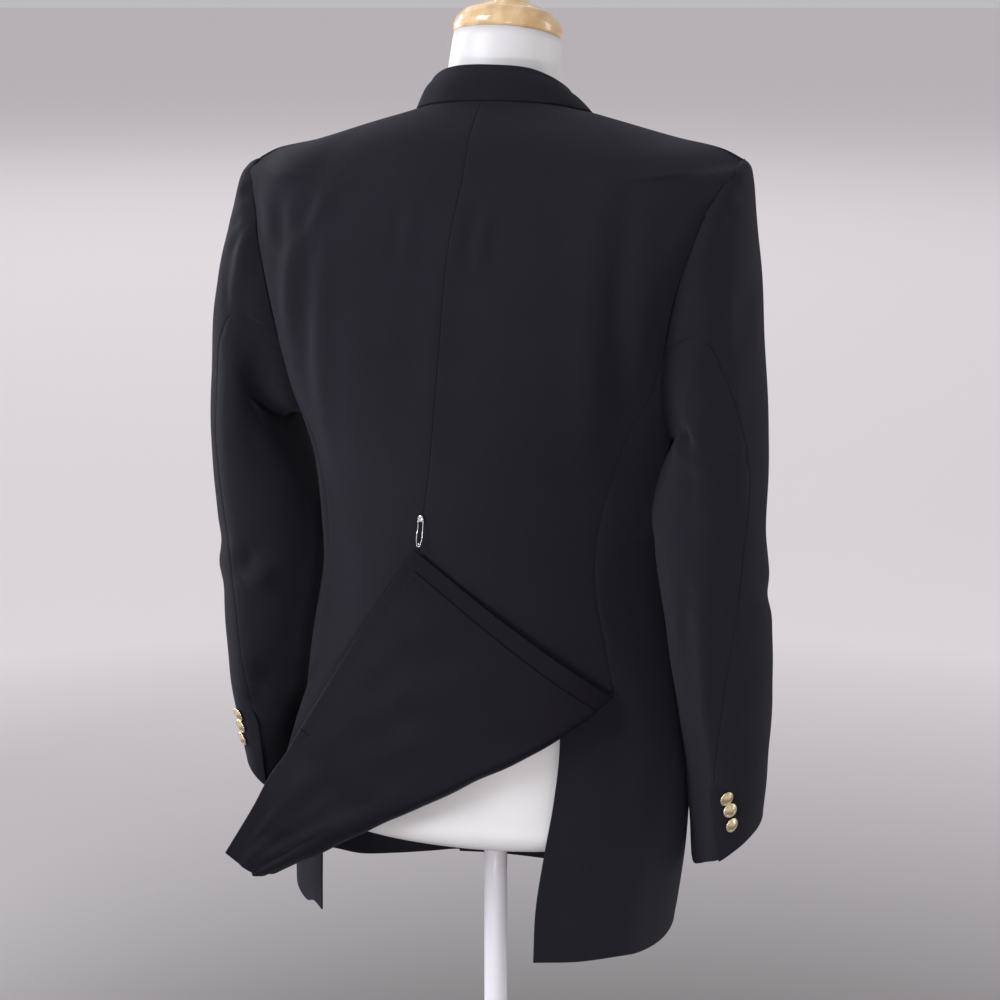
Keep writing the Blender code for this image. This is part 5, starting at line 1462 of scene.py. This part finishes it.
FINISH = {
    "wool": woven_finish("navy_wool_twill", WOOL_COLOUR, rib=0.00060, tone_share=1.0, bump=0.00016,
                         fuzz=1.4, lint=0.05, rough=0.92, Sheen_Weight=WOOL_SHEEN,
                         Sheen_Roughness=0.42, Sheen_Tint=WOOL_SHEEN_TINT, Specular_IOR_Level=0.18),
    "lining": woven_finish("satin_twill_lining", LINING_COLOUR, rib=0.00034, tone_share=0.5,
                           bump=0.00005, fuzz=0.5, lint=0.02, rough=0.52, Sheen_Weight=0.02,
                           Sheen_Roughness=0.3, Sheen_Tint=WOOL_SHEEN_TINT, Specular_IOR_Level=0.14),
    "thread": shell_finish("navy_silk_thread", (0.010, 0.011, 0.020), rough=0.55, size=300.0, bump=0.0001),
    "gold": metal_finish("polished_gold", (0.93, 0.78, 0.50), rough=0.22, size=180.0, bump=0.00002),
    "steel": metal_finish("nickel_plate", (0.78, 0.77, 0.75), rough=0.18, size=240.0, bump=0.00001),
    "form": shell_finish("white_form_shell", (0.70, 0.69, 0.68), rough=0.44, size=30.0, bump=0.00006),
    "paint": shell_finish("white_satin_paint", (0.86, 0.85, 0.88), rough=0.32, size=50.0, bump=0.00004),
    "maple": maple_finish(),
}


# ---- back ----
VENT_ROW = FLAP_LOW_ROWS + FLAP_TURN_ROWS + FLAP_HIGH_ROWS      # row of the back's grid at the vent tops
TURN_ROWS = (FLAP_LOW_ROWS, FLAP_LOW_ROWS + FLAP_TURN_ROWS)     # rows between which the cloth turns over


def back_surface():
    halves = {side: back_grid(side) for side in SIDES}
    whole = np.concatenate([halves["right"][:, ::-1], halves["left"][:, 1:]], axis=1)
    corners = []
    for row, shares in ((VENT_ROW, VENT_SHARP), (len(whole) - 1 - SHOULDER_ROWS, TIP_SHARP)):
        sharp = np.zeros(whole.shape[1])
        sharp[:len(shares)] = shares
        sharp[-len(shares):] = shares[::-1]
        corners.append((row, sharp))
    return Surface(whole, corners=corners)


def turn_rows(surface):
    """Places up the back, close together where the cloth turns over."""
    return np.linspace(surface.rows[TURN_ROWS[0]], surface.rows[TURN_ROWS[1]], TURN_PLACES)


def flap_wave(cut, surface):
    """The turned-up cloth lies a little wavy, less so near its hem and the fold."""
    flat = np.stack([cut.column, cut.row, 0 * cut.row], axis=-1)
    from_hem, from_fold = FLAP_CALM
    fold = surface.rows[TURN_ROWS[0]]
    low = 1 - smoothstep(fold - from_fold, fold, cut.row)
    wave = unevenness(flat, *FLAP_WAVES) + unevenness(flat, *FLAP_RIPPLES)
    return wave * low * smoothstep(0.0, from_hem, cut.row)


def back_panels(surface):
    vent = surface.rows[VENT_ROW]
    middle = surface.columns[len(surface.columns) // 2]
    spans = {"right": (0.0, middle), "left": (middle, surface.columns[-1])}
    made = []
    for side in SIDES:
        cut = Cut(surface, (0.0, surface.rows[-1]), spans[side], turn=turn_rows(surface))
        centre, outside = "first_column", "last_column"
        if side == "right":
            centre, outside = outside, centre
        above = smoothstep(vent - VENT_SLIP, vent + VENT_CLOSES, cut.row)
        lift = seam_groove(cut.edge(centre), 1.0, CENTRE_DIP) + seam_groove(cut.edge(outside), above)
        lift += creased(cut.points, cut.normals, BODY_CREASES) * above
        calm = smoothstep(0, BODY_CALM, cut.edge(outside))
        lift += unevenness(cut.points, *BODY_WAVES) * above * calm
        lift -= flap_wave(cut, surface)
        cut.move(lift)
        cut.fresh_normals()
        cut.sew_borders(centre, outside, where=above)
        cut.sew_borders("last_row")
        cloth_wall("back_" + side, cut)
        made.append(cut)
    return made


def flap_lining(surface):
    """Lining of the turned-up skirt, on the wool's wrong side, with its folded edge a little puckered."""
    last = TURN_ROWS[0] + LINING_TURN_ROWS
    cut = Cut(surface, (surface.rows[1], surface.rows[last]), (surface.columns[1], surface.columns[-2]),
              turn=turn_rows(surface))
    upward, across = PUCKER_LENGTHS
    pucker = np.sin(cut.row * 2 * pi / upward) * np.exp(-(cut.edge("first_column") / PUCKER_REACH) ** 2)
    pucker += np.sin(cut.column * 2 * pi / across) * np.exp(-(cut.edge("first_row") / PUCKER_REACH) ** 2)
    flat = np.stack([cut.column, cut.row, 0 * cut.row], axis=-1)
    full = smoothstep(0.0, LINING_CALM, np.minimum(cut.edge("first_row"), cut.edge("first_column")))
    billow = (unevenness(flat, *LINING_WAVES) + LINING_FULL) * full
    cut.normals = -cut.normals
    cut.move(CLOTH + LAP_GAP + flap_wave(cut, surface) + LINING_PUCKER * pucker + billow)
    cut.surface = Surface(surface.grid, -1)
    cut.fresh_normals()
    cut.move(LINING)
    return cloth_wall("flap_lining", cut, ("lining",), LINING)


# ---- side panels ----
def side_grid(side):
    """The part's own grid: underlap columns first, then the panel from its back seam to its front one."""
    heights_back = seam_heights(SIDE_BACK_STEP)
    steps = np.arange(SIDE_BACK_STEP, SIDE_FRONT_STEP + 1)
    top_angles, top_heights = armhole_place(steps)
    wide_top, wide_hem = UNDERLAP[side]
    grid = []
    for back_height in heights_back:
        climb = (back_height - HEM_H) / (heights_back[-1] - HEM_H)
        heights = HEM_H + (top_heights - HEM_H) * climb
        start = float(side_back_angle(back_height))
        end = float(side_front_angle(heights[-1]))
        even = np.linspace(start, end, len(steps))
        shaped = start + (top_angles - top_angles[0]) * (end - start) / (top_angles[-1] - top_angles[0])
        angles = even + (shaped - even) * smoothstep(0.6, 1.0, climb)
        reach = coat_point(start, back_height) - coat_point(start - 0.01, back_height)
        width = between((wide_hem, wide_top), smoothstep(HEM_H, VENT_H, back_height))
        lap = width / (np.linalg.norm(reach) / 0.01)
        laps = start - lap * np.linspace(1, 0, UNDERLAP_COLUMNS + 1)[:-1]
        angles = np.concatenate([laps, angles]) * SIGN[side]
        rise = UNDERLAP_RISE[side] * (1 - smoothstep(HEM_H, LEFT_HEM_TOP_H, back_height))
        heights = np.concatenate([np.full(UNDERLAP_COLUMNS, back_height + rise), heights])
        row = coat_point(angles, heights)
        facing = coat_normal(angles, heights)
        under = UNDERLAP_COLUMNS + (1 if back_height < VENT_H - TINY else 0)
        row[:under] -= facing[:under] * UNDERLAP_DEPTH
        grid.append(row)
    return np.array(grid)


def side_panel(side):
    """The panel with its underlap; above the vent's top the cloth is cut away beside the seam."""
    grid = side_grid(side)
    sharp = np.zeros(grid.shape[1])
    sharp[:UNDERLAP_COLUMNS + 1] = 1
    sharp[UNDERLAP_COLUMNS:UNDERLAP_COLUMNS + len(VENT_SHARP)] = VENT_SHARP
    surface = Surface(grid, SIGN[side], ((SKIRT_ROWS, sharp),))
    vent = surface.rows[SKIRT_ROWS - 1]
    seam = surface.columns[UNDERLAP_COLUMNS]
    cut = Cut(surface, (0.0, surface.rows[-1]), (0.0, surface.columns[-1]))
    near_seam = int(np.argmin(abs(cut.columns - seam)))
    cut.columns[near_seam] = seam
    cut.column[:, near_seam] = seam
    cut.points = surface.points(cut.rows, cut.columns)
    cut.normals = surface.normals(cut.rows, cut.columns)
    first_up = int(np.searchsorted(cut.rows, vent))
    cut.keep = np.ones((len(cut.rows) - 1, len(cut.columns) - 1), bool)
    cut.keep[first_up:, :near_seam] = False
    above = cut.row > cut.rows[first_up] - TINY
    back_edge = np.where(above, abs(cut.column - seam), cut.edge("first_column"))
    distance = np.minimum(np.minimum(back_edge, cut.edge("last_column")),
                          np.minimum(cut.edge("first_row"), cut.edge("last_row")))
    lift = seam_groove(back_edge, above) + seam_groove(cut.edge("last_column"))
    lift += seam_groove(cut.edge("last_row"))
    lift += creased(cut.points, cut.normals, BODY_CREASES)
    lift += unevenness(cut.points, *BODY_WAVES) * smoothstep(0, BODY_CALM, distance)
    cut.move(lift)
    cut.fresh_normals()
    cut.sew_borders("last_row", "last_column")
    cut.sew(np.s_[first_up:, near_seam], np.s_[first_up:, near_seam + 1])
    return cloth_wall("side_panel_" + side, cut, distance=distance)


# ---- fronts ----
def front_surface(side):
    grid = front_grid(side)
    sharp = np.zeros(grid.shape[1])
    sharp[:len(TIP_SHARP)] = TIP_SHARP
    return Surface(grid, SIGN[side], ((len(grid) - 1 - SHOULDER_ROWS, sharp),))


def front_drape(cut, edge_free):
    lift = creased(cut.points, cut.normals, FRONT_CREASES)
    return lift + unevenness(cut.points, *FRONT_WAVES) * smoothstep(0, BODY_CALM, edge_free)


def front_panel(side, surface):
    cut = Cut(surface, (0.0, surface.rows[-1]), (0.0, surface.columns[-1]), FRONT_STEP)
    cut.move(front_drape(cut, cut.edge("first_column")) + seam_groove(cut.edge("first_column")))
    cut.fresh_normals()
    cut.sew_borders("first_column", "last_row")
    cloth_wall("front_" + side, cut)
    return cut


def laid_on(cut, lift):
    """Lay a cut on the front it belongs to: the front's own drape, then the lift."""
    cut.move(front_drape(cut, cut.column))
    cut.fresh_normals()
    cut.move(lift)
    cut.fresh_normals()


def lapel(side, surface):
    """The lapel folds back along the roll line, and lies full and soft rather than pressed."""
    heights = np.array(front_rows()[0])
    first = int(np.searchsorted(heights, BREAK_H)) + 1
    rows = (surface.rows[first], surface.rows[gorge_row()])
    cut = Cut(surface, rows, (surface.columns[BODY_COLUMNS], surface.columns[-1]))
    roll = cut.edge("last_column")
    share = (cut.row - rows[0]) / (rows[1] - rows[0])
    full = LAPEL_ROLL * np.exp(-(roll / LAPEL_ROLL_REACH) ** 2) * (1 - LAPEL_ROLL_FADE * share)
    laid_on(cut, CLOTH + LAP_GAP + full + LAPEL_BELLY * np.sin(pi * share))
    return cloth_wall("lapel_" + side, cut, ("wool",))


def at_height(surface, height):
    """Place along a front's rows of a ring height."""
    return float(np.interp(height, front_rows()[0], surface.rows))


def patch(name, surface, place, corner):
    """A pocket flap or welt; its lower corners are rounded."""
    first, last, low, high = place
    rows = (at_height(surface, low), at_height(surface, high))
    cut = Cut(surface, rows, (surface.columns[first], surface.columns[last]), PATCH_STEP)
    share = (cut.row - rows[0]) / (rows[1] - rows[0])
    laid_on(cut, CLOTH + PATCH_GAP + PATCH_BELLY * np.sin(pi * share))
    if corner > 0:
        above = np.clip(corner - cut.edge("first_row"), 0, corner)
        pull = corner - np.sqrt(corner ** 2 - above ** 2)
        half = (cut.columns[-1] - cut.columns[0]) / 2
        middle = cut.points[:, [len(cut.columns) // 2]]
        cut.points = middle + (cut.points - middle) * (1 - pull / half)[..., None]
    return cloth_wall(name, cut, ("wool",))


# ---- collar ----
def collar_grid():
    """The part's own grid: from the neck seam up the stand, over the roll and down to the leaf's edge."""
    stations = collar_places()
    base = np.array([coat_point(a, h) for a, h, _ in stations])
    tangent = unit(np.gradient(base, axis=0))
    notch = coat_point(front_place("left", *COLLAR_NOTCH), COLLAR_NOTCH[1])
    rows = []
    for k, (angle, height, front) in enumerate(stations):
        normal = coat_normal(angle, height)
        outward = unit(np.cross(normal, tangent[k]))
        away = unit(outward * np.array([1, 1, 0]))
        if front > 0:
            aim = unit(notch * np.array([np.sign(base[k, 0]), 1, 1]) - base[k])
            outward = unit(outward * (1 - front) + aim * front)
        reach = spread(stations[k])
        fall = between(COLLAR_FALL, smoothstep(0.62, 1.0, reach))
        stand = between(COLLAR_STAND, smoothstep(0.3, 1.0, reach))
        end_angle, end_height = surface_walk(angle, height, outward, fall)
        lift = CLOTH + LEAF_LIFT + front_lift(end_angle, end_height) * smoothstep(0.78, 0.95, reach)
        edge = coat_point(end_angle, end_height) + coat_normal(end_angle, end_height) * lift
        up = unit(UPWARD * (1 - 0.5 * front) + normal * 0.5 * front)
        foot = base[k] + up * (COLLAR_GAP + front_lift(angle, height)) - away * CLOTH / 2
        lean = COLLAR_LEAN * (smoothstep(0.15, 0.5, reach) - smoothstep(0.75, 0.95, reach))
        roll = foot + up * stand - away * (STAND_LEAN + lean)
        knee = roll + up * KNEE_RISE + away * COLLAR_ROLL / 2
        drop = roll + away * COLLAR_ROLL - up * ROLL_DIP
        full = between(LEAF_BELLY, smoothstep(0.3, 0.6, reach))
        belly = (drop + edge) / 2 + unit(away + up) * full
        rows.append([foot, roll - up * ROLL_DIP, knee, drop, (drop + belly) / 2 + away * LEAF_FULL[0],
                     belly, (belly + edge) / 2 + away * LEAF_FULL[1], edge])
    return np.array(rows).transpose(1, 0, 2)


def settle(cut, below):
    """Let the leaf's edge down, or up, until it lies on the cloth below it."""
    points = np.concatenate([other.points.reshape(-1, 3) for other in below])
    normals = np.concatenate([other.normals.reshape(-1, 3) for other in below])
    high = points[:, 2] > LEAF_LOW_H
    points, normals = points[high], normals[high]
    moves = []
    for place in cut.points[-1]:
        near = int(np.linalg.norm(points - place, axis=1).argmin())
        rise = float((place - points[near]) @ normals[near])
        moves.append(normals[near] * (CLOTH + LEAF_PRESS - rise))
    moves = np.array(moves)
    for _ in range(LEAF_SMOOTH):
        moves[1:-1] = (moves[:-2] + 2 * moves[1:-1] + moves[2:]) / 4
    back = abs(cut.points[-1][:, 1] - LEAF_BACK_Y) < LEAF_BACK_REACH
    share = smoothstep(LEAF_SETTLES, 0.0, cut.edge("last_row")) * back[None]
    cut.points = cut.points + moves[None] * share[..., None]


def collar(below):
    surface = Surface(collar_grid(), -1)
    cut = Cut(surface, (0.0, surface.rows[-1]), (0.0, surface.columns[-1]), COLLAR_STEP)
    settle(cut, below)
    cut.move(unevenness(cut.points, *COLLAR_WAVES) * smoothstep(0, COLLAR_CALM, cut.edge("first_row")))
    cut.fresh_normals()
    return cloth_wall("collar", cut, ("wool",))


# ---- sleeves ----
RING_PAD = 2              # extra columns past each end, so that a sleeve's ring has no seam of its own


def sleeve_surface(side):
    rings = sleeve_grid(side)[::-1]
    columns = np.arange(FOREARM_STEP - RING_PAD, FOREARM_STEP + ARMHOLE_STEPS + RING_PAD + 1)
    return Surface(rings[:, columns % ARMHOLE_STEPS], -SIGN[side])


def sleeve_lift(cut, side, part, hind, fore, slit):
    """How far a sleeve's cloth stands off its surface: seams, head, ease, creases and unevenness."""
    from_head = cut.edge("last_row")
    lift = seam_groove(cut.edge(hind), 1 - slit) + seam_groove(cut.edge(fore)) + seam_groove(from_head)
    if part == "top":
        lift += SLEEVE_ROLL * np.exp(-((from_head - HEAD_PLACE[0]) / HEAD_PLACE[1]) ** 2)
    ease = np.exp(-((from_head - PUCKER_REACH) / PUCKER_REACH) ** 2)
    much, soon = EASE_WANDER
    turn = cut.column * 2 * pi / EASE_LENGTH + much * np.sin(cut.column * soon)
    lift += EASE_PUCKER * ease * np.sin(turn)
    lift += creased(cut.points, cut.normals, SLEEVE_CREASES[side])
    return lift + unevenness(cut.points, *SLEEVE_WAVES) * smoothstep(0, SLEEVE_CALM, from_head)


def sleeve(side):
    """Top and under sleeve; the top one laps over the under one at the cuff's slit."""
    surface = sleeve_surface(side)
    hindarm = RING_PAD + ARMHOLE_STEPS - FOREARM_STEP + HINDARM_STEP
    spans = {"top": (RING_PAD, hindarm), "under": (hindarm, RING_PAD + ARMHOLE_STEPS)}
    made = {}
    for part, (first, last) in spans.items():
        cut = Cut(surface, (0.0, surface.rows[-1]), (surface.columns[first], surface.columns[last]))
        hind, fore, reach, rise = "last_column", "first_column", SLIT_REACH, SLIT_LIFT
        if part == "under":
            hind, fore, reach, rise = fore, hind, SLIT_REACH / 2, -SLIT_SINK
        slit = 1 - smoothstep(SLIT_LENGTH - SLIT_FADE, SLIT_LENGTH, cut.row)
        near = np.exp(-(cut.edge(hind) / reach) ** 2) * slit
        along = unit(np.gradient(cut.points, axis=1))
        cut.move(sleeve_lift(cut, side, part, hind, fore, slit) + near * rise)
        if part == "top":
            cut.points = cut.points + along * (SLIT_LAP * near)[..., None]
        cut.fresh_normals()
        cut.sew_borders(hind, where=1 - slit)
        cut.sew_borders(fore, "last_row")
        cloth_wall(part + "_sleeve_" + side, cut)
        made[part] = cut
    return made


# ---- buttons, buttonholes and the pin ----
def seat_near(name, cut):
    """Where a button sits: the cloth's nearest point to its solid, with the cloth's normal there."""
    low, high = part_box(name)
    centre = (np.array(low) + np.array(high)) / 2
    distance = np.linalg.norm(cut.points - centre, axis=-1)
    at = np.unravel_index(distance.argmin(), distance.shape)
    return cut.points[at], cut.normals[at]


def button(name, cut, radius, turn=0.0, tilt=0.0):
    """A domed metal button with a roped rim and a plain ring, on a short thread shank."""
    point, normal = seat_near(name, cut)
    up = unit(UPWARD - normal * normal[2])
    facing = unit(normal + np.cross(up, normal) * turn - up * tilt)
    stand = SHANK + LEANING * radius * np.hypot(turn, tilt)
    seat = frame_on(point + normal * stand, facing, UPWARD)
    disc_points = tuple((radius * share, rise) for share, rise in BUTTON_PROFILE)
    profile = round_profile((BUTTON_ENDS[0], *disc_points, BUTTON_ENDS[1]), BUTTON_ROUND, 4)

    def rope(k, turns):
        place, reach = ROPE_PLACE
        rim = abs(profile[k][0] - radius * place) < radius * reach and profile[k][1] > 0
        return RIM_ROPE * np.sin(turns * ROPE_TURNS) if rim else 0 * turns

    disc = turned("gold_" + name, seat, profile, FINISH["gold"], BUTTON_SIDES, rope)
    stand_for(disc, name)
    shank = turned("thread_" + name, (point, *seat[1:3], normal),
                   ((0.0014, -0.0002), (0.0011, 0.0004), (0.0012, stand)), FINISH["thread"], 20)


def buttonhole(name, cut, place):
    """A stitched hole lying on the cloth: a raised oval of thread."""
    at = np.unravel_index(np.linalg.norm(cut.points - place, axis=-1).argmin(), cut.points.shape[:2])
    normal = cut.normals[at]
    point = cut.points[at] + normal * HOLE_LIFT
    across = unit(np.cross(UPWARD, normal))
    up = np.cross(normal, across)
    height, stitches = HOLE_RIPPLE
    path = []
    for turn in np.linspace(0, 2 * pi, 49):
        wide = HOLE_HALF_WIDTH + height * cos(turn * stitches)
        path.append(point + across * (HOLE_LENGTH / 2 * cos(turn)) + up * (wide * sin(turn)))
    tube(name, path, HOLE_THREAD, FINISH["thread"], 8)


def pin_path():
    """The pin's wire: down the thick arm, round the coil and up the thin one: across, along, out."""
    half = PIN_WIDTH / 2
    bottom = PIN_LENGTH - PIN_COIL
    run = bottom - PIN_ARM_START
    path = []
    for share in np.linspace(0, 1, 24):
        turning = smoothstep(0.75, 1.0, share)
        side = -half * (1 - turning) - PIN_COIL * turning - PIN_BOW * sin(pi * share)
        path.append((float(side), PIN_ARM_START + run * share, 0.0))
    for turn in np.linspace(0, 3 * pi, 40)[1:]:
        path.append((-PIN_COIL * cos(turn), bottom + PIN_COIL * sin(turn),
                     PIN_COIL_RISE * turn / (3 * pi)))
    for share in np.linspace(1, 0, 30)[1:]:
        turning = smoothstep(0.8, 1.0, share)
        side = half * (1 - turning) + PIN_COIL * turning
        dip = -PIN_DIP * sin(pi * np.clip((share - 0.15) / 0.45, 0, 1))
        path.append((float(side), PIN_ARM_START + run * share, PIN_COIL_RISE * share + dip))
    return path


def safety_pin():
    """Two arms of bright wire from a small coil up to a flat clasp."""
    angle = seam_swing(PIN_TOP_H - PIN_LENGTH / 2)
    top = coat_point(angle, PIN_TOP_H)
    normal = coat_normal(angle, PIN_TOP_H - PIN_LENGTH / 2)
    down = unit(coat_point(angle, PIN_TOP_H - PIN_LENGTH) - top)
    across = unit(np.cross(down, normal))
    lean = unit(down + normal * PIN_LEAN)
    face = unit(normal - lean * (normal @ lean))
    start = top + normal * (PIN_RISE + PIN_CLASP[1] / 2)
    points = [start + across * a + lean * b + face * c for a, b, c in pin_path()]
    wire = tube("steel_safety_pin_wire", points, PIN_WIRE / 2, FINISH["steel"], 12)
    stand_for(wire, "safety_pin_wire")
    width, depth = CLASP_SIZE
    turns = 2 * pi * np.arange(32) / 32
    square = (np.abs(np.cos(turns)) ** 3 + np.abs(np.sin(turns)) ** 3) ** (-1 / 3)
    outline = across * (width / 2) * np.cos(turns)[:, None] + face * (depth / 2) * np.sin(turns)[:, None]
    rings = [start + lean * place + wide * square[:, None] * outline for place, wide in CLASP_RINGS]
    clasp = ring_stack("steel_safety_pin_clasp", rings, FINISH["steel"])
    stand_for(clasp, "safety_pin_clasp")


# ---- dress form ----
def form_torso():
    turns = 2 * pi * np.arange(FORM_TURNS) / FORM_TURNS
    rings = []
    for height in (FORM_BOTTOM_H,) + FORM_HEIGHTS:
        flat = np.full(FORM_TURNS, height)
        inset = FORM_CLEAR + (FORM_TUCK if height == FORM_BOTTOM_H else 0.0)
        ring = coat_point(turns, flat) - coat_normal(turns, flat) * inset
        if height == FORM_BOTTOM_H:
            ring[:, 2] = FORM_BOTTOM_H
        rings.append(ring)
    for z, centre_y, half_width, half_depth, tilt in NECK_TABLE:
        rings.append(tilted_ring(np.array([0, centre_y, z]), half_width, half_depth, tilt, turns))
    rings = np.array(rings)
    keys = mean_lengths(rings, 0)
    fine = spline(keys, rings, np.linspace(0, keys[-1], FORM_ROWS))
    bottom = fine[0] * FORM_BOTTOM_SHARE
    bottom[:, 2] = FORM_BOTTOM_H
    stand_for(ring_stack(FORM, [bottom, *fine], FINISH["form"]), "form_torso")


def neck_cap():
    z, centre_y = NECK_TABLE[-1][:2]
    normal = np.array([0, -sin(radians(CAP_TILT)), cos(radians(CAP_TILT))])
    seat = frame_on(np.array([0, centre_y, z]), normal, np.array([0, 1.0, 0]))
    profile = round_profile(((AXIS, 0.0003), *CAP_PROFILE, (AXIS, 0.0712)), WOOD_ROUND)
    stand_for(turned("maple_neck_cap", seat, profile, FINISH["maple"], CAP_SIDES), "neck_cap")


def stand():
    seat = (np.zeros(3), np.array([1.0, 0, 0]), np.array([0, 1.0, 0]), UPWARD)
    base = round_profile(((AXIS, 0.0), *BASE_PROFILE, (AXIS, BASE_PROFILE[-1][1])), PAINT_ROUND)
    stand_for(turned("white_base", seat, base, FINISH["paint"], BASE_SIDES), "base")
    low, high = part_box("pole")
    pole = [(POLE_RADIUS, z) for z in np.linspace(low[2], high[2], 12)]
    stand_for(turned("white_pole", seat, pole, FINISH["paint"]), "pole")


# ---- studio ----
def floor():
    turns = 2 * pi * np.arange(FLOOR_SIDES) / FLOOR_SIDES
    rim = np.stack([np.cos(turns), np.sin(turns), 0 * turns], axis=-1) * FLOOR_RADIUS
    mesh = bpy.data.meshes.new("floor")
    mesh.from_pydata(rim.tolist(), [], [tuple(range(FLOOR_SIDES))])
    mesh.materials.append(floor_finish())
    made = placed("floor", mesh)
    made.location.z = -FLOOR_DROP


def soft_light(name, place, aim, size, power, colour):
    lamp = bpy.data.lights.new(name, "AREA")
    lamp.shape = "RECTANGLE"
    lamp.size, lamp.size_y = size
    lamp.energy = power
    lamp.color = colour
    made = placed(name, lamp)
    made.location = place
    made.rotation_euler = (Vector(aim) - Vector(place)).to_track_quat("-Z", "Y").to_euler()


def studio():
    floor()
    for row in LIGHTS:
        soft_light(*row)
    world = bpy.data.worlds.new("pale_room")
    world.use_nodes = True
    air = world.node_tree.nodes["Background"].inputs
    air["Color"].default_value = (*ROOM_COLOUR, 1)
    air["Strength"].default_value = ROOM_STRENGTH
    bpy.context.scene.world = world
    bpy.context.scene.view_settings.view_transform = "Standard"


def camera():
    """The photograph's own view, from behind and a little above, round to the wearer's right."""
    turn, pitch = radians(CAMERA_TURN), radians(CAMERA_PITCH)
    forward = Vector((sin(turn) * cos(pitch), -cos(turn) * cos(pitch), -sin(pitch)))
    right = Vector((-cos(turn), -sin(turn), 0))
    up = right.cross(forward)
    lens = bpy.data.cameras.new("camera")
    lens.lens = CAMERA_LENS
    lens.sensor_width = 36.0
    made = placed("camera", lens)
    axes = Matrix((right, up, -forward)).transposed().to_4x4()
    made.matrix_world = Matrix.Translation(CAMERA_PLACE) @ axes
    bpy.context.scene.camera = made


# ---- the whole object ----
def coat():
    back = back_surface()
    below = back_panels(back)
    flap_lining(back)
    for side in SIDES:
        side_panel(side)
        surface = front_surface(side)
        cut = front_panel(side, surface)
        below.append(cut)
        lapel(side, surface)
        patch("pocket_flap_" + side, surface, FLAP_POCKET, POCKET_CORNER)
        if side == "left":
            patch("breast_welt", surface, WELT_POCKET, 0)
            front_fastening(cut)
        top = sleeve(side)["top"]
        for row, (turn, tilt) in enumerate(CUFF_TURN[side], 1):
            button("cuff_button_%s_%d" % (side, row), top, CUFF_BUTTON_RADIUS * CUFF_FULL, turn, tilt)
    collar(below)


def front_fastening(cut):
    """Six buttons on the left front, with a stitched hole beside each one that fastens."""
    for row, (across, height) in enumerate(BUTTON_PLACES, 1):
        for side in SIDES:
            button("front_button_%s_%d" % (side, row), cut, BUTTON_RADIUS)
        if row > 1:
            hole = coat_point(angle_at_x(-across - HOLE_PAST, height), height)
            buttonhole("front_buttonhole_%d" % row, cut, hole)


def main():
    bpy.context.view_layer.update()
    coat()
    safety_pin()
    form_torso()
    neck_cap()
    stand()
    studio()
    camera()


main()
